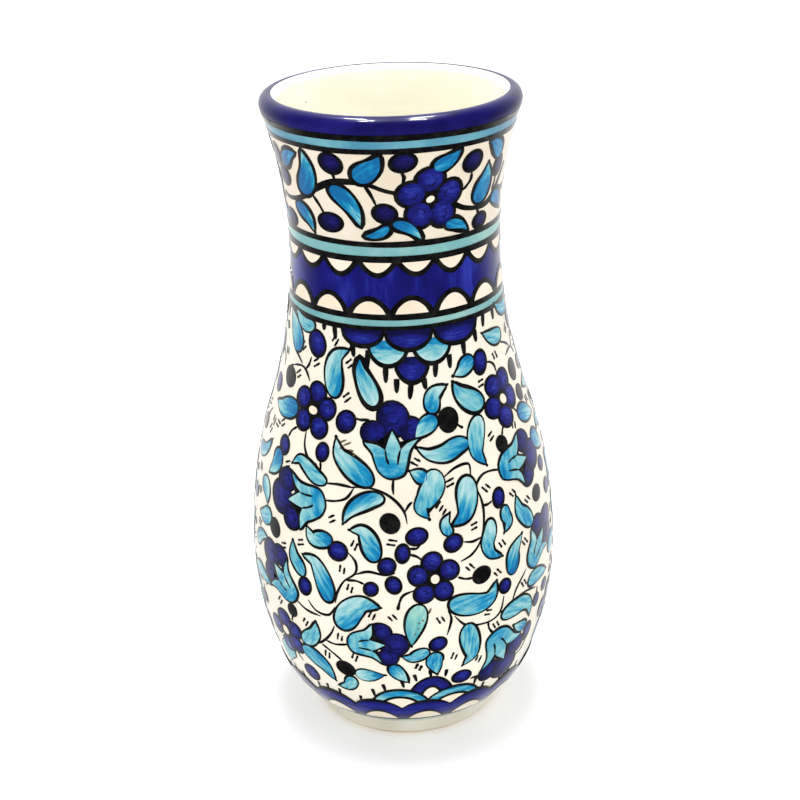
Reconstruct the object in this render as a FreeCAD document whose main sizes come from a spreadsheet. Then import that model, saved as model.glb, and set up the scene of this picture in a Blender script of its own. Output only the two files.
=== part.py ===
"""A hand-painted pottery vase: low turned foot, full belly, waisted neck and a rolled lip.

The clay is made in five sections that are luted together, and the fired glaze is a
thin coat in ten zones of colour, each its own ring. +Z is up and the origin is the
centre of the foot's resting face. Every size is in millimetres.
"""

import FreeCAD, Part
import os
import Sketcher

SIZES = {
    # the whole shape
    "vase_height": 250.0,
    "belly_radius": 59.7,
    "belly_level": 69.0,
    # the neck: how far in and how far down its waist is, and the rolled lip above it
    "waist_inset": 21.0,
    "waist_drop": 52.5,
    "crest_overhang": 4.45,
    "lip_radius": 3.6,
    # the lower curve of the belly, and how far in from the belly it meets the foot
    "underbelly_radius": 125.0,
    "heel_radius": 42.0,
    "spring_inset": 22.4,
    # the foot
    "foot_height": 5.5,
    "foot_spread": 0.7,
    "foot_width": 9.0,
    "foot_bevel": 0.9,
    "glaze_stop": 1.4,
    # thicknesses
    "glaze": 0.4,
    "wall": 5.2,
    "floor_depth": 7.0,
    # how far inside the lip's crest the lip's colour ends
    "colour_lap": 0.9,
    # bands of colour and clay joints, measured from their nearest landmark
    "rim_band": 6.8,
    "upper_stripe": 4.8,
    "frieze_band": 33.8,
    "middle_stripe": 5.6,
    "wave_band": 20.5,
    "lower_stripe": 4.5,
    "foot_stripe": 4.7,
    "foot_stripe_gap": 3.0,
}

REACH = 40.0  # how far a cutting slab stands out past the belly

doc = FreeCAD.newDocument("vase")


def make_sheet():
    """The sheet of driving dimensions, one named cell each."""
    sheet = doc.addObject("Spreadsheet::Sheet", "sizes")
    for row, (name, value) in enumerate(SIZES.items(), start=1):
        sheet.set(f"A{row}", name)
        sheet.set(f"B{row}", str(value))
        sheet.setAlias(f"B{row}", name)
    doc.recompute()
    return sheet


# Places worked out from those sizes, as expressions: every word is a size's name.
WAIST_RADIUS = "( belly_radius - waist_inset )"
WAIST_LEVEL = "( vase_height - waist_drop )"
CREST_RADIUS = "( belly_radius - waist_inset + crest_overhang )"
LIP_LEVEL = "( vase_height - lip_radius )"
ABOVE_LIP = "( vase_height + lip_radius )"
SPRING_RADIUS = "( belly_radius - spring_inset )"
FOOT_RADIUS = "( belly_radius - spring_inset + foot_spread )"
FOOT_BORE = "( belly_radius - spring_inset + foot_spread - foot_width )"


def cell(name):
    """The expression that reads one cell of the sheet."""
    return f"<<sizes>>.{name}"


def bound(text):
    """An expression in which each name of a size stands for its cell."""
    words = text.replace("(", " ( ").replace(")", " ) ").split()
    return " ".join(cell(w) if w in SIZES else w for w in words)


def value_of(text):
    """What such an expression comes to."""
    return float(sheet.evalExpression(bound(text)))


sheet = make_sheet()


# ---------------------------------------------------------------- sketched sections


def origin_plane(body, role):
    """One of a body's own origin planes."""
    return next(f for f in body.Origin.OriginFeatures if f.Role == role)


def new_section(name):
    """A body with an empty sketch on its XZ plane: sketch x is the radius, y the level."""
    body = doc.addObject("PartDesign::Body", name)
    body.Label = name
    sketch = body.newObject("Sketcher::SketchObject", name + "_section")
    sketch.AttachmentSupport = [(origin_plane(body, "XZ_Plane"), "")]
    sketch.MapMode = "FlatFace"
    return body, sketch


def revolve(body, sketch):
    """Turns the section once round the vase's axis."""
    turn = body.newObject("PartDesign::Revolution", body.Name + "_turned")
    turn.Profile = sketch
    turn.ReferenceAxis = (sketch, ["V_Axis"])
    turn.Angle = 360.0
    sketch.Visibility = False
    doc.recompute()
    return body


def size(sketch, kind, target, text):
    """Adds a dimension to a sketch and binds it to an expression of the sheet's sizes."""
    number = sketch.addConstraint(Sketcher.Constraint(kind, *target, value_of(text)))
    sketch.setExpression(f"Constraints[{number}]", bound(text))


def pin_point(sketch, geometry, vertex, radius, level):
    """Fixes a point of the section at a radius and a level. 0 means on that axis."""
    for kind, text in (("DistanceX", radius), ("DistanceY", level)):
        if text == "0":
            axis = -2 if kind == "DistanceX" else -1
            sketch.addConstraint(Sketcher.Constraint("PointOnObject", geometry, vertex, axis))
        else:
            size(sketch, kind, (-1, 1, geometry, vertex), text)


class Chain:
    """Lines and arcs laid end to end in a sketch, and then closed."""

    START, END, CENTRE = 1, 2, 3

    def __init__(self, sketch):
        self.sketch = sketch
        self.links = []

    def line(self, start, end):
        a, b = (FreeCAD.Vector(x, y, 0) for x, y in (start, end))
        index = self.sketch.addGeometry(Part.LineSegment(a, b), False)
        self.links.append((index, self.START, self.END))
        return index

    def arc(self, start, middle, end):
        """An arc through three points. Sketches keep arcs anticlockwise, so one that
        runs clockwise is stored end first."""
        turn = (middle[0] - start[0]) * (end[1] - start[1])
        turn -= (middle[1] - start[1]) * (end[0] - start[0])
        points = (start, middle, end) if turn > 0 else (end, middle, start)
        a, m, b = (FreeCAD.Vector(x, y, 0) for x, y in points)
        index = self.sketch.addGeometry(Part.Arc(a, m, b), False)
        first, last = (self.START, self.END) if turn > 0 else (self.END, self.START)
        self.links.append((index, first, last))
        return index

    def join(self, smooth):
        """Joins each link to the next. smooth lists the links that run on tangentially."""
        count = len(self.links)
        for n, (index, _, last) in enumerate(self.links):
            following, first, _ = self.links[(n + 1) % count]
            kind = "Tangent" if index in smooth else "Coincident"
            self.sketch.addConstraint(
                Sketcher.Constraint(kind, index, last, following, first)
            )

    def vertex(self, index, which):
        """The sketch's own number for the start or end of a link."""
        link = next(x for x in self.links if x[0] == index)
        return link[1] if which == "start" else link[2]


def between(a, b, bulge=0.0):
    """The point midway between two others, pushed to the right by a share of their gap."""
    dx, dy = b[0] - a[0], b[1] - a[1]
    return (a[0] + dx / 2 + dy * bulge, a[1] + dy / 2 - dx * bulge)


def wall_curve(chain, inset, low, upward=True):
    """The heel, belly, shoulder, neck and flare of a wall, inset from the glazed outside.

    low is where the heel ends. The curve runs up the outside or down the inside, and
    its named levels are the same for every inset, so that walls keep their depth.
    Returns the links by name.
    """
    belly = value_of(f"belly_radius - {inset}"), value_of("belly_level")
    waist = value_of(f"{WAIST_RADIUS} - {inset}"), value_of(WAIST_LEVEL)
    heel = belly[0] * 0.86, belly[1] * 0.36
    side = 1 if upward else -1
    lip = value_of(CREST_RADIUS) + side * value_of("lip_radius"), value_of(LIP_LEVEL)
    middle = between(belly, waist)
    parts = {
        "heel": (low, between(low, heel, bulge=0.06), heel),
        "underbelly": (heel, between(heel, belly, bulge=0.045), belly),
        "shoulder": (belly, between(belly, middle, bulge=0.04), middle),
        "neck": (middle, between(middle, waist, bulge=-0.04), waist),
        "flare": (waist, between(waist, lip, bulge=-0.04), lip),
    }
    order = list(parts) if upward else list(parts)[::-1]
    curve = {}
    for name in order:
        points = parts[name] if upward else parts[name][::-1]
        curve[name] = chain.arc(*points)
    return curve


def size_wall(chain, curve, inset, upward=True):
    """Dimensions for a wall curve: two landmarks, a radius, and equal neck curves."""
    sketch = chain.sketch
    end = "end" if upward else "start"
    for name, radius, level in (
        ("underbelly", "belly_radius", "belly_level"),
        ("neck", WAIST_RADIUS, WAIST_LEVEL),
    ):
        pin_point(
            sketch, curve[name], chain.vertex(curve[name], end), f"{radius} - {inset}", level
        )
        size(sketch, "DistanceY", (-1, 1, curve[name], Chain.CENTRE), level)
    size(sketch, "Radius", (curve["underbelly"],), f"underbelly_radius - {inset}")
    sketch.addConstraint(Sketcher.Constraint("Equal", curve["shoulder"], curve["neck"]))


def size_outer_heel(chain, curve, inset):
    """The outer heel's radius, and where it springs from the foot."""
    heel = curve["heel"]
    size(chain.sketch, "Radius", (heel,), f"heel_radius - {inset}")
    start = chain.vertex(heel, "start")
    pin_point(chain.sketch, heel, start, f"{SPRING_RADIUS} - {inset}", "foot_height")


def make_shell(name, skin):
    """The vase's hollow section, its skin inset by a thickness, turned into a solid."""
    body, sketch = new_section(name)
    chain = Chain(sketch)
    inner = f"( glaze + wall + glaze - {skin} )"
    lip = value_of(f"lip_radius - {skin}")
    crest, lip_level = value_of(CREST_RADIUS), value_of(LIP_LEVEL)
    floor_level = f"foot_height + floor_depth + glaze - {skin}"
    spring = value_of(f"{SPRING_RADIUS} - {skin}"), value_of("foot_height")
    floor_edge = spring[0], value_of(floor_level)
    outside = wall_curve(chain, skin, spring)
    rim = chain.arc(
        (crest + lip, lip_level), (crest, lip_level + lip), (crest - lip, lip_level)
    )
    inside = wall_curve(chain, inner, floor_edge, upward=False)
    floor_line = chain.line(floor_edge, (0.0, floor_edge[1]))
    axis_line = chain.line((0.0, floor_edge[1]), (0.0, spring[1]))
    base_line = chain.line((0.0, spring[1]), spring)
    smooth = set(outside.values()) | {rim} | set(inside.values()) - {inside["heel"]}
    chain.join(smooth)
    size_wall(chain, outside, skin)
    size_outer_heel(chain, outside, skin)
    size_wall(chain, inside, inner, upward=False)
    sketch.addConstraint(
        Sketcher.Constraint(
            "Coincident", inside["heel"], Chain.CENTRE, outside["heel"], Chain.CENTRE
        )
    )
    pin_point(sketch, rim, Chain.CENTRE, CREST_RADIUS, LIP_LEVEL)
    size(sketch, "Radius", (rim,), f"lip_radius - {skin}")
    sketch.addConstraint(Sketcher.Constraint("Horizontal", base_line))
    sketch.addConstraint(Sketcher.Constraint("Horizontal", floor_line))
    pin_point(sketch, floor_line, Chain.END, "0", floor_level)
    sketch.addConstraint(Sketcher.Constraint("PointOnObject", axis_line, Chain.END, -2))
    return revolve(body, sketch)


def make_core():
    """A filled form whose skin runs through the middle of the clay. It parts the glaze
    inside the vase from the glaze outside."""
    depth = "( glaze + wall / 2 )"
    body, sketch = new_section("core_form")
    chain = Chain(sketch)
    top = value_of(ABOVE_LIP)
    edge = value_of(f"{CREST_RADIUS} - colour_lap")
    spring = value_of(f"{SPRING_RADIUS} - {depth}"), value_of("foot_height")
    curve = wall_curve(chain, depth, spring)
    rise = chain.line((edge, value_of(LIP_LEVEL)), (edge, top))
    lid = chain.line((edge, top), (0.0, top))
    chain.line((0.0, top), (0.0, spring[1]))
    base = chain.line((0.0, spring[1]), spring)
    chain.join(set(curve.values()) - {curve["flare"]})
    size_wall(chain, curve, depth)
    size_outer_heel(chain, curve, depth)
    pin_point(sketch, rise, Chain.START, f"{CREST_RADIUS} - colour_lap", LIP_LEVEL)
    sketch.addConstraint(Sketcher.Constraint("Vertical", rise))
    sketch.addConstraint(Sketcher.Constraint("Horizontal", lid))
    pin_point(sketch, lid, Chain.END, "0", ABOVE_LIP)
    sketch.addConstraint(Sketcher.Constraint("Horizontal", base))
    sketch.addConstraint(Sketcher.Constraint("PointOnObject", base, Chain.START, -2))
    return revolve(body, sketch)


def make_polygon_ring(name, corners):
    """A ring whose section is a straight-sided outline, given as (radius, level) texts."""
    body, sketch = new_section(name)
    chain = Chain(sketch)
    places = [(value_of(r), value_of(z)) for r, z in corners]
    lines = [chain.line(a, b) for a, b in zip(places, places[1:] + places[:1])]
    chain.join(set())
    for line, (radius, level) in zip(lines, corners):
        pin_point(sketch, line, Chain.START, radius, level)
    return revolve(body, sketch)


# ---------------------------------------------------------------- cutting into sub-parts


def make_slab(name, low, high):
    """A wide disc between two levels, for cutting a coat or a wall into rings."""
    slab = doc.addObject("Part::Cylinder", name)
    slab.setExpression("Radius", f"{cell('belly_radius')} + {REACH}")
    slab.setExpression("Height", f"{bound(high)} - ( {bound(low)} )")
    slab.setExpression("Placement.Base.z", bound(low))
    return slab


def make_boolean(kind, name, base, tool):
    """Cut, Common or Fuse of two objects."""
    result = doc.addObject(f"Part::{kind}", name)
    result.Base, result.Tool = base, tool
    result.Refine = kind == "Fuse"
    result.Label = name
    return result


def slice_ring(name, whole, low, high):
    """The part of a turned solid between two levels."""
    slab = make_slab(name + "_slab", low, high)
    return make_boolean("Common", name, whole, slab)


# Levels where one colour ends and the next begins, from the lip down and the foot up.
RIM_EDGE = "vase_height - rim_band"
FRIEZE_TOP = f"{RIM_EDGE} - upper_stripe"
FRIEZE_END = f"{FRIEZE_TOP} - frieze_band"
WAVE_TOP = f"{FRIEZE_END} - middle_stripe"
WAVE_END = f"{WAVE_TOP} - wave_band"
BELLY_TOP = f"{WAVE_END} - lower_stripe"
STRIPE_LOW = "foot_height + foot_stripe_gap"
STRIPE_HIGH = f"{STRIPE_LOW} + foot_stripe"
FLOOR_TOP = "foot_height + floor_depth"


def make_clay():
    """The fired clay: foot, floor, belly, neck and lip, joined at level faces."""
    clay = make_shell("clay_form", "glaze")
    foot = make_polygon_ring(
        "foot_ring",
        [
            (f"{FOOT_BORE} + foot_bevel", "0"),
            (f"{FOOT_RADIUS} - glaze - foot_bevel", "0"),
            (f"{FOOT_RADIUS} - glaze", "foot_bevel"),
            (f"{SPRING_RADIUS} - glaze", "foot_height"),
            (FOOT_BORE, "foot_height"),
            (FOOT_BORE, "foot_bevel"),
        ],
    )
    sections = [
        slice_ring("floor_disc", clay, "foot_height", FLOOR_TOP),
        slice_ring("belly_wall", clay, FLOOR_TOP, BELLY_TOP),
        slice_ring("neck_wall", clay, BELLY_TOP, FRIEZE_TOP),
        slice_ring("rim_bead", clay, FRIEZE_TOP, ABOVE_LIP),
    ]
    return clay, [foot] + sections


def foot_side(level):
    """The radius of the foot's sloping glazed side at a level between its bevel and top."""
    slope = "foot_spread / ( foot_height - foot_bevel )"
    return f"{FOOT_RADIUS} - {slope} * ( {level} - foot_bevel )"


def make_glaze(clay):
    """The fired coat: a lining inside, and rings of colour down the outside."""
    glazed = make_shell("glazed_form", "0")
    coat = make_boolean("Cut", "whole_coat", glazed, clay)
    core = make_core()
    lining = make_boolean("Common", "lining_glaze", coat, core)
    outer = make_boolean("Cut", "outer_coat", coat, core)
    rings = [
        slice_ring("rim_glaze", outer, RIM_EDGE, ABOVE_LIP),
        slice_ring("upper_stripe_glaze", outer, FRIEZE_TOP, RIM_EDGE),
        slice_ring("frieze_glaze", outer, FRIEZE_END, FRIEZE_TOP),
        slice_ring("middle_stripe_glaze", outer, WAVE_TOP, FRIEZE_END),
        slice_ring("wave_band_glaze", outer, WAVE_END, WAVE_TOP),
        slice_ring("lower_stripe_glaze", outer, BELLY_TOP, WAVE_END),
        slice_ring("belly_glaze", outer, STRIPE_HIGH, BELLY_TOP),
        slice_ring("foot_stripe_glaze", outer, STRIPE_LOW, STRIPE_HIGH),
    ]
    heel = slice_ring("heel_coat", outer, "foot_height", STRIPE_LOW)
    side = make_polygon_ring(
        "foot_coat",
        [
            (foot_side("glaze_stop") + " - glaze", "glaze_stop"),
            (foot_side("glaze_stop"), "glaze_stop"),
            (SPRING_RADIUS, "foot_height"),
            (f"{SPRING_RADIUS} - glaze", "foot_height"),
        ],
    )
    foot_glaze = make_boolean("Fuse", "foot_glaze", heel, side)
    return [lining] + rings + [foot_glaze]


def check(parts):
    """Stops the build if any feature failed, or a sub-part is empty, broken or in pieces."""
    for item in doc.Objects:
        if "Invalid" in item.State or "Error" in item.State:
            raise RuntimeError(f"{item.Name} failed: {item.State}")
    for part in parts:
        shape = part.Shape
        if shape.isNull() or not shape.isValid() or len(shape.Solids) != 1:
            raise RuntimeError(f"{part.Label} isn't one valid solid")


def write(parts):
    """Writes each sub-part's solid to parts/NAME.step."""
    os.makedirs("parts", exist_ok=True)
    for part in parts:
        part.Shape.exportStep(os.path.join("parts", part.Label + ".step"))
        box = part.Shape.optimalBoundingBox()
        print(
            f"{part.Label:22s} {part.Shape.Volume / 1000:8.2f} cm3,"
            f" levels {box.ZMin:7.2f} to {box.ZMax:7.2f}, radius {box.XMax:6.2f}"
        )


clay_form, clay_parts = make_clay()
sub_parts = clay_parts + make_glaze(clay_form)
doc.recompute()
check(sub_parts)
write(sub_parts)
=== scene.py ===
"""Looks for a hand-painted pottery vase: turned glaze rings and raised brushwork."""

import math
import random

import bmesh
import bpy
from mathutils import Matrix, Vector


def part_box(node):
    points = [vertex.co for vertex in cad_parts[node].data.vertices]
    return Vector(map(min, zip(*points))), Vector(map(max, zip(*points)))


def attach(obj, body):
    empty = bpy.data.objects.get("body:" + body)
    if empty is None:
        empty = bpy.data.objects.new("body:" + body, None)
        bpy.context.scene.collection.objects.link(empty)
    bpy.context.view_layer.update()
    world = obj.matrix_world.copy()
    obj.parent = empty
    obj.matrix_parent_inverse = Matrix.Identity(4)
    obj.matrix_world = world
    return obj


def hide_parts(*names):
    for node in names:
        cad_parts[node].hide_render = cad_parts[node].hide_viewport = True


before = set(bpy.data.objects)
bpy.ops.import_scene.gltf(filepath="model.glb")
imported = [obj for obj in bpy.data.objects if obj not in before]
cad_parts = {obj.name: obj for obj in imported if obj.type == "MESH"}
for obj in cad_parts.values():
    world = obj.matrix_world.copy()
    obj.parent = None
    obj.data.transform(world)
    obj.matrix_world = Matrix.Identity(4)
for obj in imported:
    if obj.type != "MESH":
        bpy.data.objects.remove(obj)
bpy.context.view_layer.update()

MM = 0.001
TURN = 360.0
FULL = TURN / 2  # the skin runs this far to each side of the front
rng = random.Random(7)


# ------------------------------------------------------------------ the vase's outline


def top_of(node):
    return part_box(node)[1].z / MM


def foot_of(node):
    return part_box(node)[0].z / MM


HEIGHT = top_of("rim_glaze")
BELLY_LEVEL = 69.0
BELLY_RADIUS = 59.7
WAIST_RADIUS = 38.7
WAIST_LEVEL = HEIGHT - 52.5
CREST_RADIUS = 43.15
LIP_RADIUS = 3.6
LIP_LEVEL = HEIGHT - LIP_RADIUS
LAP_RADIUS = CREST_RADIUS - 0.9
UNDERBELLY_RADIUS = 125.0
HEEL_RADIUS = 42.0
HEEL_TURN = math.radians(21.1)
FOOT_LEVEL = top_of("foot_ring")
SPRING_RADIUS = 37.3
FOOT_RADIUS = 38.0
FOOT_BEVEL = 0.9
GLAZE = 0.4
COAT_DEPTH = GLAZE * 0.95  # just short of the clay under it
WALL = 6.0  # clay with both coats of glaze
FLOOR_LEVEL = top_of("floor_disc") + GLAZE

# where one band's colour ends and the next begins
RIM_EDGE = foot_of("rim_glaze")
FRIEZE_TOP = top_of("frieze_glaze")
FRIEZE_END = foot_of("frieze_glaze")
WAVE_TOP = top_of("wave_band_glaze")
WAVE_END = foot_of("wave_band_glaze")
BELLY_TOP = top_of("belly_glaze")
BELLY_END = foot_of("belly_glaze")
WASH_END = foot_of("foot_stripe_glaze")
GLAZE_STOP = foot_of("foot_glaze")


def shoulder_radius():
    """The belly's upper curve and the neck's curve are one radius, turned opposite ways."""
    drop, rise = BELLY_RADIUS - WAIST_RADIUS, WAIST_LEVEL - BELLY_LEVEL
    return (drop * drop + rise * rise) / (4 * drop)


def flare_radius(waist, side):
    """The curve that leaves the waist upright and runs tangentially into the lip."""
    run, rise = waist - CREST_RADIUS, LIP_LEVEL - WAIST_LEVEL
    square = run * run + rise * rise - LIP_RADIUS**2
    return square / (2 * (side * LIP_RADIUS - run))


SHOULDER = shoulder_radius()
FLARE = flare_radius(WAIST_RADIUS, 1)
INNER_FLARE = flare_radius(WAIST_RADIUS - WALL, -1)


def heel_centre():
    reach = UNDERBELLY_RADIUS - HEEL_RADIUS
    across = BELLY_RADIUS - UNDERBELLY_RADIUS + reach * math.cos(HEEL_TURN)
    return across, BELLY_LEVEL - reach * math.sin(HEEL_TURN)


def lip_join(waist, flare, side):
    """The level where a flare meets the lip's round."""
    away = waist + flare - CREST_RADIUS
    rise = LIP_LEVEL - WAIST_LEVEL
    gap = math.hypot(away, rise)
    return LIP_LEVEL - side * LIP_RADIUS * rise / gap


def body_arcs(wall):
    """The arcs from heel to waist, inset by a wall: the level each ends at, its centre,
    its radius, and whether it swells (1) or is hollow (-1)."""
    under, over = UNDERBELLY_RADIUS - wall, SHOULDER - wall
    climb = (WAIST_LEVEL - BELLY_LEVEL) / 2 / SHOULDER
    return (
        (BELLY_LEVEL - under * math.sin(HEEL_TURN), *heel_centre(), HEEL_RADIUS - wall, 1),
        (BELLY_LEVEL, BELLY_RADIUS - UNDERBELLY_RADIUS, BELLY_LEVEL, under, 1),
        (BELLY_LEVEL + over * climb, BELLY_RADIUS - SHOULDER, BELLY_LEVEL, over, 1),
        (WAIST_LEVEL, WAIST_RADIUS + SHOULDER, WAIST_LEVEL, SHOULDER + wall, -1),
    )


ARCS = (
    *body_arcs(0.0),
    (lip_join(WAIST_RADIUS, FLARE, 1), WAIST_RADIUS + FLARE, WAIST_LEVEL, FLARE, -1),
    (HEIGHT, CREST_RADIUS, LIP_LEVEL, LIP_RADIUS, 1),
)


def arc_at(arc, level):
    """The radius of one arc at a level."""
    _, across, up, size, side = arc
    return across + side * math.sqrt(max(size * size - (level - up) ** 2, 0.0))


def radius_at(level):
    """The vase's outer radius at a level."""
    if level < FOOT_LEVEL:
        share = (FOOT_LEVEL - level) / (FOOT_LEVEL - FOOT_BEVEL)
        return SPRING_RADIUS + (FOOT_RADIUS - SPRING_RADIUS) * share
    for arc in ARCS:
        if level <= arc[0]:
            return arc_at(arc, level)
    return CREST_RADIUS


def on_vase(degrees, level, lift=0.0):
    """A point on the vase, or lifted off it, in metres. 0 degrees faces the viewer."""
    step = 0.05
    lean = (radius_at(level + step) - radius_at(level - step)) / (2 * step)
    square = math.hypot(1.0, lean)
    out = radius_at(level) + lift / square
    turn = math.radians(degrees)
    up = level - lift * lean / square
    return Vector((out * math.sin(turn), -out * math.cos(turn), up)) * MM


# ------------------------------------------------------------------ glazes and clay


def tint(red, green, blue):
    """A colour given in 0 to 255, as the shader wants it."""
    return (
        *(
            c / 12.92 if c <= 0.04045 else ((c + 0.055) / 1.055) ** 2.4
            for c in (red / 255, green / 255, blue / 255)
        ),
        1.0,
    )


class Recipe:
    """A material's nodes, added and linked in short calls."""

    def __init__(self, name, roughness, shine):
        self.material = bpy.data.materials.new(name)
        self.material.use_nodes = True
        self.tree = self.material.node_tree
        self.shader = self.tree.nodes["Principled BSDF"]
        self.shader.inputs["Roughness"].default_value = roughness
        self.shader.inputs["Specular IOR Level"].default_value = 0.1
        self.shader.inputs["Coat Weight"].default_value = shine
        self.shader.inputs["Coat Roughness"].default_value = 0.04

    def add(self, kind, **settings):
        node = self.tree.nodes.new(kind)
        for key, value in settings.items():
            if hasattr(node, key):
                setattr(node, key, value)
            else:
                node.inputs[key.replace("_", " ")].default_value = value
        return node

    def link(self, source, target):
        self.tree.links.new(source, target)

    def place(self):
        return self.add("ShaderNodeTexCoord").outputs["Object"]

    def noise(self, where, scale, detail=3.0, roughness=0.55):
        node = self.add("ShaderNodeTexNoise", Scale=scale, Detail=detail, Roughness=roughness)
        self.link(where, node.inputs["Vector"])
        return node.outputs["Fac"]

    def stretch(self, where, scale):
        node = self.add("ShaderNodeMapping")
        node.inputs["Scale"].default_value = scale
        self.link(where, node.inputs["Vector"])
        return node.outputs["Vector"]

    def ramp(self, value, stops):
        node = self.add("ShaderNodeValToRGB")
        band = node.color_ramp
        while len(band.elements) < len(stops):
            band.elements.new(0.5)
        for element, (at, colour) in zip(band.elements, stops):
            element.position, element.color = at, colour
        self.link(value, node.inputs["Fac"])
        return node.outputs["Color"]

    def feed(self, sockets, values):
        """Links each value that is another node's output, and sets each plain one."""
        for socket, value in zip(sockets, values):
            if hasattr(value, "links"):
                self.link(value, socket)
            else:
                socket.default_value = value

    def mix(self, share, first, second):
        node = self.add("ShaderNodeMix", data_type="RGBA")
        self.feed([node.inputs[k] for k in (0, 6, 7)], (share, first, second))
        return node.outputs[2]

    def combine(self, operation, first, second):
        node = self.add("ShaderNodeMath", operation=operation)
        self.feed(node.inputs, (first, second))
        return node.outputs["Value"]

    def colour(self, value):
        self.link(value, self.shader.inputs["Base Color"])

    def ripple(self, where, scale, depth):
        """A glaze's slow unevenness, which bends its reflections."""
        bump = self.add("ShaderNodeBump", Strength=0.35, Distance=depth)
        self.link(self.noise(where, scale, 2.0), bump.inputs["Height"])
        self.link(bump.outputs["Normal"], self.shader.inputs["Normal"])
        self.link(bump.outputs["Normal"], self.shader.inputs["Coat Normal"])


def ground_glaze(name, light, shade, specks=0.75):
    """A pale glaze: clouded, with a few tiny iron specks."""
    recipe = Recipe(name, 0.3, 1.0)
    where = recipe.place()
    cloud = recipe.ramp(recipe.noise(where, 45.0, 5.0), ((0.35, shade), (0.62, light)))
    cells = recipe.add("ShaderNodeTexVoronoi", Scale=150.0)
    recipe.link(where, cells.inputs["Vector"])
    near = recipe.combine("LESS_THAN", cells.outputs["Distance"], 0.045)
    pick = recipe.combine("GREATER_THAN", recipe.noise(where, 70.0, 0.0), specks)
    speck = recipe.combine("MULTIPLY", near, pick)
    recipe.colour(recipe.mix(speck, cloud, tint(122, 96, 70)))
    recipe.ripple(where, 55.0, 0.0004)
    return recipe.material


def band_glaze(name, deep, middle, pale, streak=(90.0, 90.0, 22.0), shine=1.0):
    """A coloured glaze laid round the vase with a loaded brush: streaked and pooled."""
    recipe = Recipe(name, 0.3, shine)
    where = recipe.place()
    streaks = recipe.noise(recipe.stretch(where, streak), 1.0, 5.0, 0.65)
    pools = recipe.noise(where, 38.0, 3.0)
    streaked = recipe.combine("MULTIPLY", streaks, 0.6)
    pooled = recipe.combine("MULTIPLY", pools, 0.4)
    both = recipe.combine("ADD", streaked, pooled)
    recipe.colour(recipe.ramp(both, ((0.36, deep), (0.5, middle), (0.64, pale))))
    recipe.ripple(where, 70.0, 0.0004)
    return recipe.material


def wash_parts(recipe):
    """What each painted mark carries: along, across, its own number, and its depth."""
    node = recipe.add("ShaderNodeAttribute", attribute_name="wash")
    split = recipe.add("ShaderNodeSeparateColor")
    recipe.link(node.outputs["Color"], split.inputs["Color"])
    place = recipe.add("ShaderNodeCombineXYZ")
    along, across, own = (split.outputs[k] for k in ("Red", "Green", "Blue"))
    recipe.link(recipe.combine("MULTIPLY", along, 0.9), place.inputs["X"])
    recipe.link(recipe.combine("MULTIPLY", across, 1.9), place.inputs["Y"])
    recipe.link(recipe.combine("MULTIPLY", own, 40.0), place.inputs["Z"])
    return place.outputs["Vector"], along, across, node.outputs["Alpha"]


def leaf_glaze(name, stops):
    """A wash that runs from a pale turquoise to a deeper blue, streaked along the leaf."""
    recipe = Recipe(name, 0.3, 1.0)
    where, _, _, depth = wash_parts(recipe)
    streaks = recipe.combine("SUBTRACT", recipe.noise(where, 1.2, 4.0, 0.6), 0.5)
    value = recipe.combine("ADD", depth, recipe.combine("MULTIPLY", streaks, 1.7))
    recipe.colour(recipe.ramp(value, stops))
    recipe.ripple(recipe.place(), 80.0, 0.0003)
    return recipe.material


def cobalt_glaze(name, deep, middle, pale):
    """Cobalt laid in one full brush: darker where it pools at the edge of the mark."""
    recipe = Recipe(name, 0.3, 1.0)
    where, along, across, depth = wash_parts(recipe)
    lengthwise = recipe.combine("MULTIPLY", along, along)
    crosswise = recipe.combine("MULTIPLY", across, across)
    square = recipe.combine("ADD", lengthwise, crosswise)
    streaks = recipe.combine("SUBTRACT", recipe.noise(where, 1.8, 5.0, 0.65), 0.5)
    edge = recipe.combine("MULTIPLY", square, -0.45)
    pooled = recipe.combine("ADD", depth, edge)
    value = recipe.combine("ADD", pooled, recipe.combine("MULTIPLY", streaks, 1.3))
    recipe.colour(recipe.ramp(value, ((0.1, deep), (0.5, middle), (0.95, pale))))
    recipe.ripple(recipe.place(), 80.0, 0.0003)
    return recipe.material


def ink_glaze(name, dense, thin):
    """A dense colour for lines and marks, weaker where the brush ran thin."""
    recipe = Recipe(name, 0.3, 1.0)
    where = recipe.place()
    cover = recipe.noise(where, 260.0, 4.0, 0.7)
    recipe.colour(recipe.ramp(cover, ((0.45, dense), (0.78, thin))))
    recipe.ripple(where, 120.0, 0.0002)
    return recipe.material


def bare_clay(name):
    """Fired clay without glaze: matt, clouded and sandy."""
    recipe = Recipe(name, 0.85, 0.0)
    where = recipe.place()
    cloud = recipe.noise(where, 60.0, 6.0, 0.7)
    colour = recipe.ramp(cloud, ((0.3, tint(196, 176, 142)), (0.7, tint(222, 206, 176))))
    grit = recipe.noise(where, 900.0, 2.0, 0.8)
    recipe.colour(recipe.mix(recipe.combine("MULTIPLY", grit, 0.25), colour, tint(160, 132, 100)))
    bump = recipe.add("ShaderNodeBump", Strength=0.5, Distance=0.0002)
    recipe.link(grit, bump.inputs["Height"])
    recipe.link(bump.outputs["Normal"], recipe.shader.inputs["Normal"])
    return recipe.material


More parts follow.
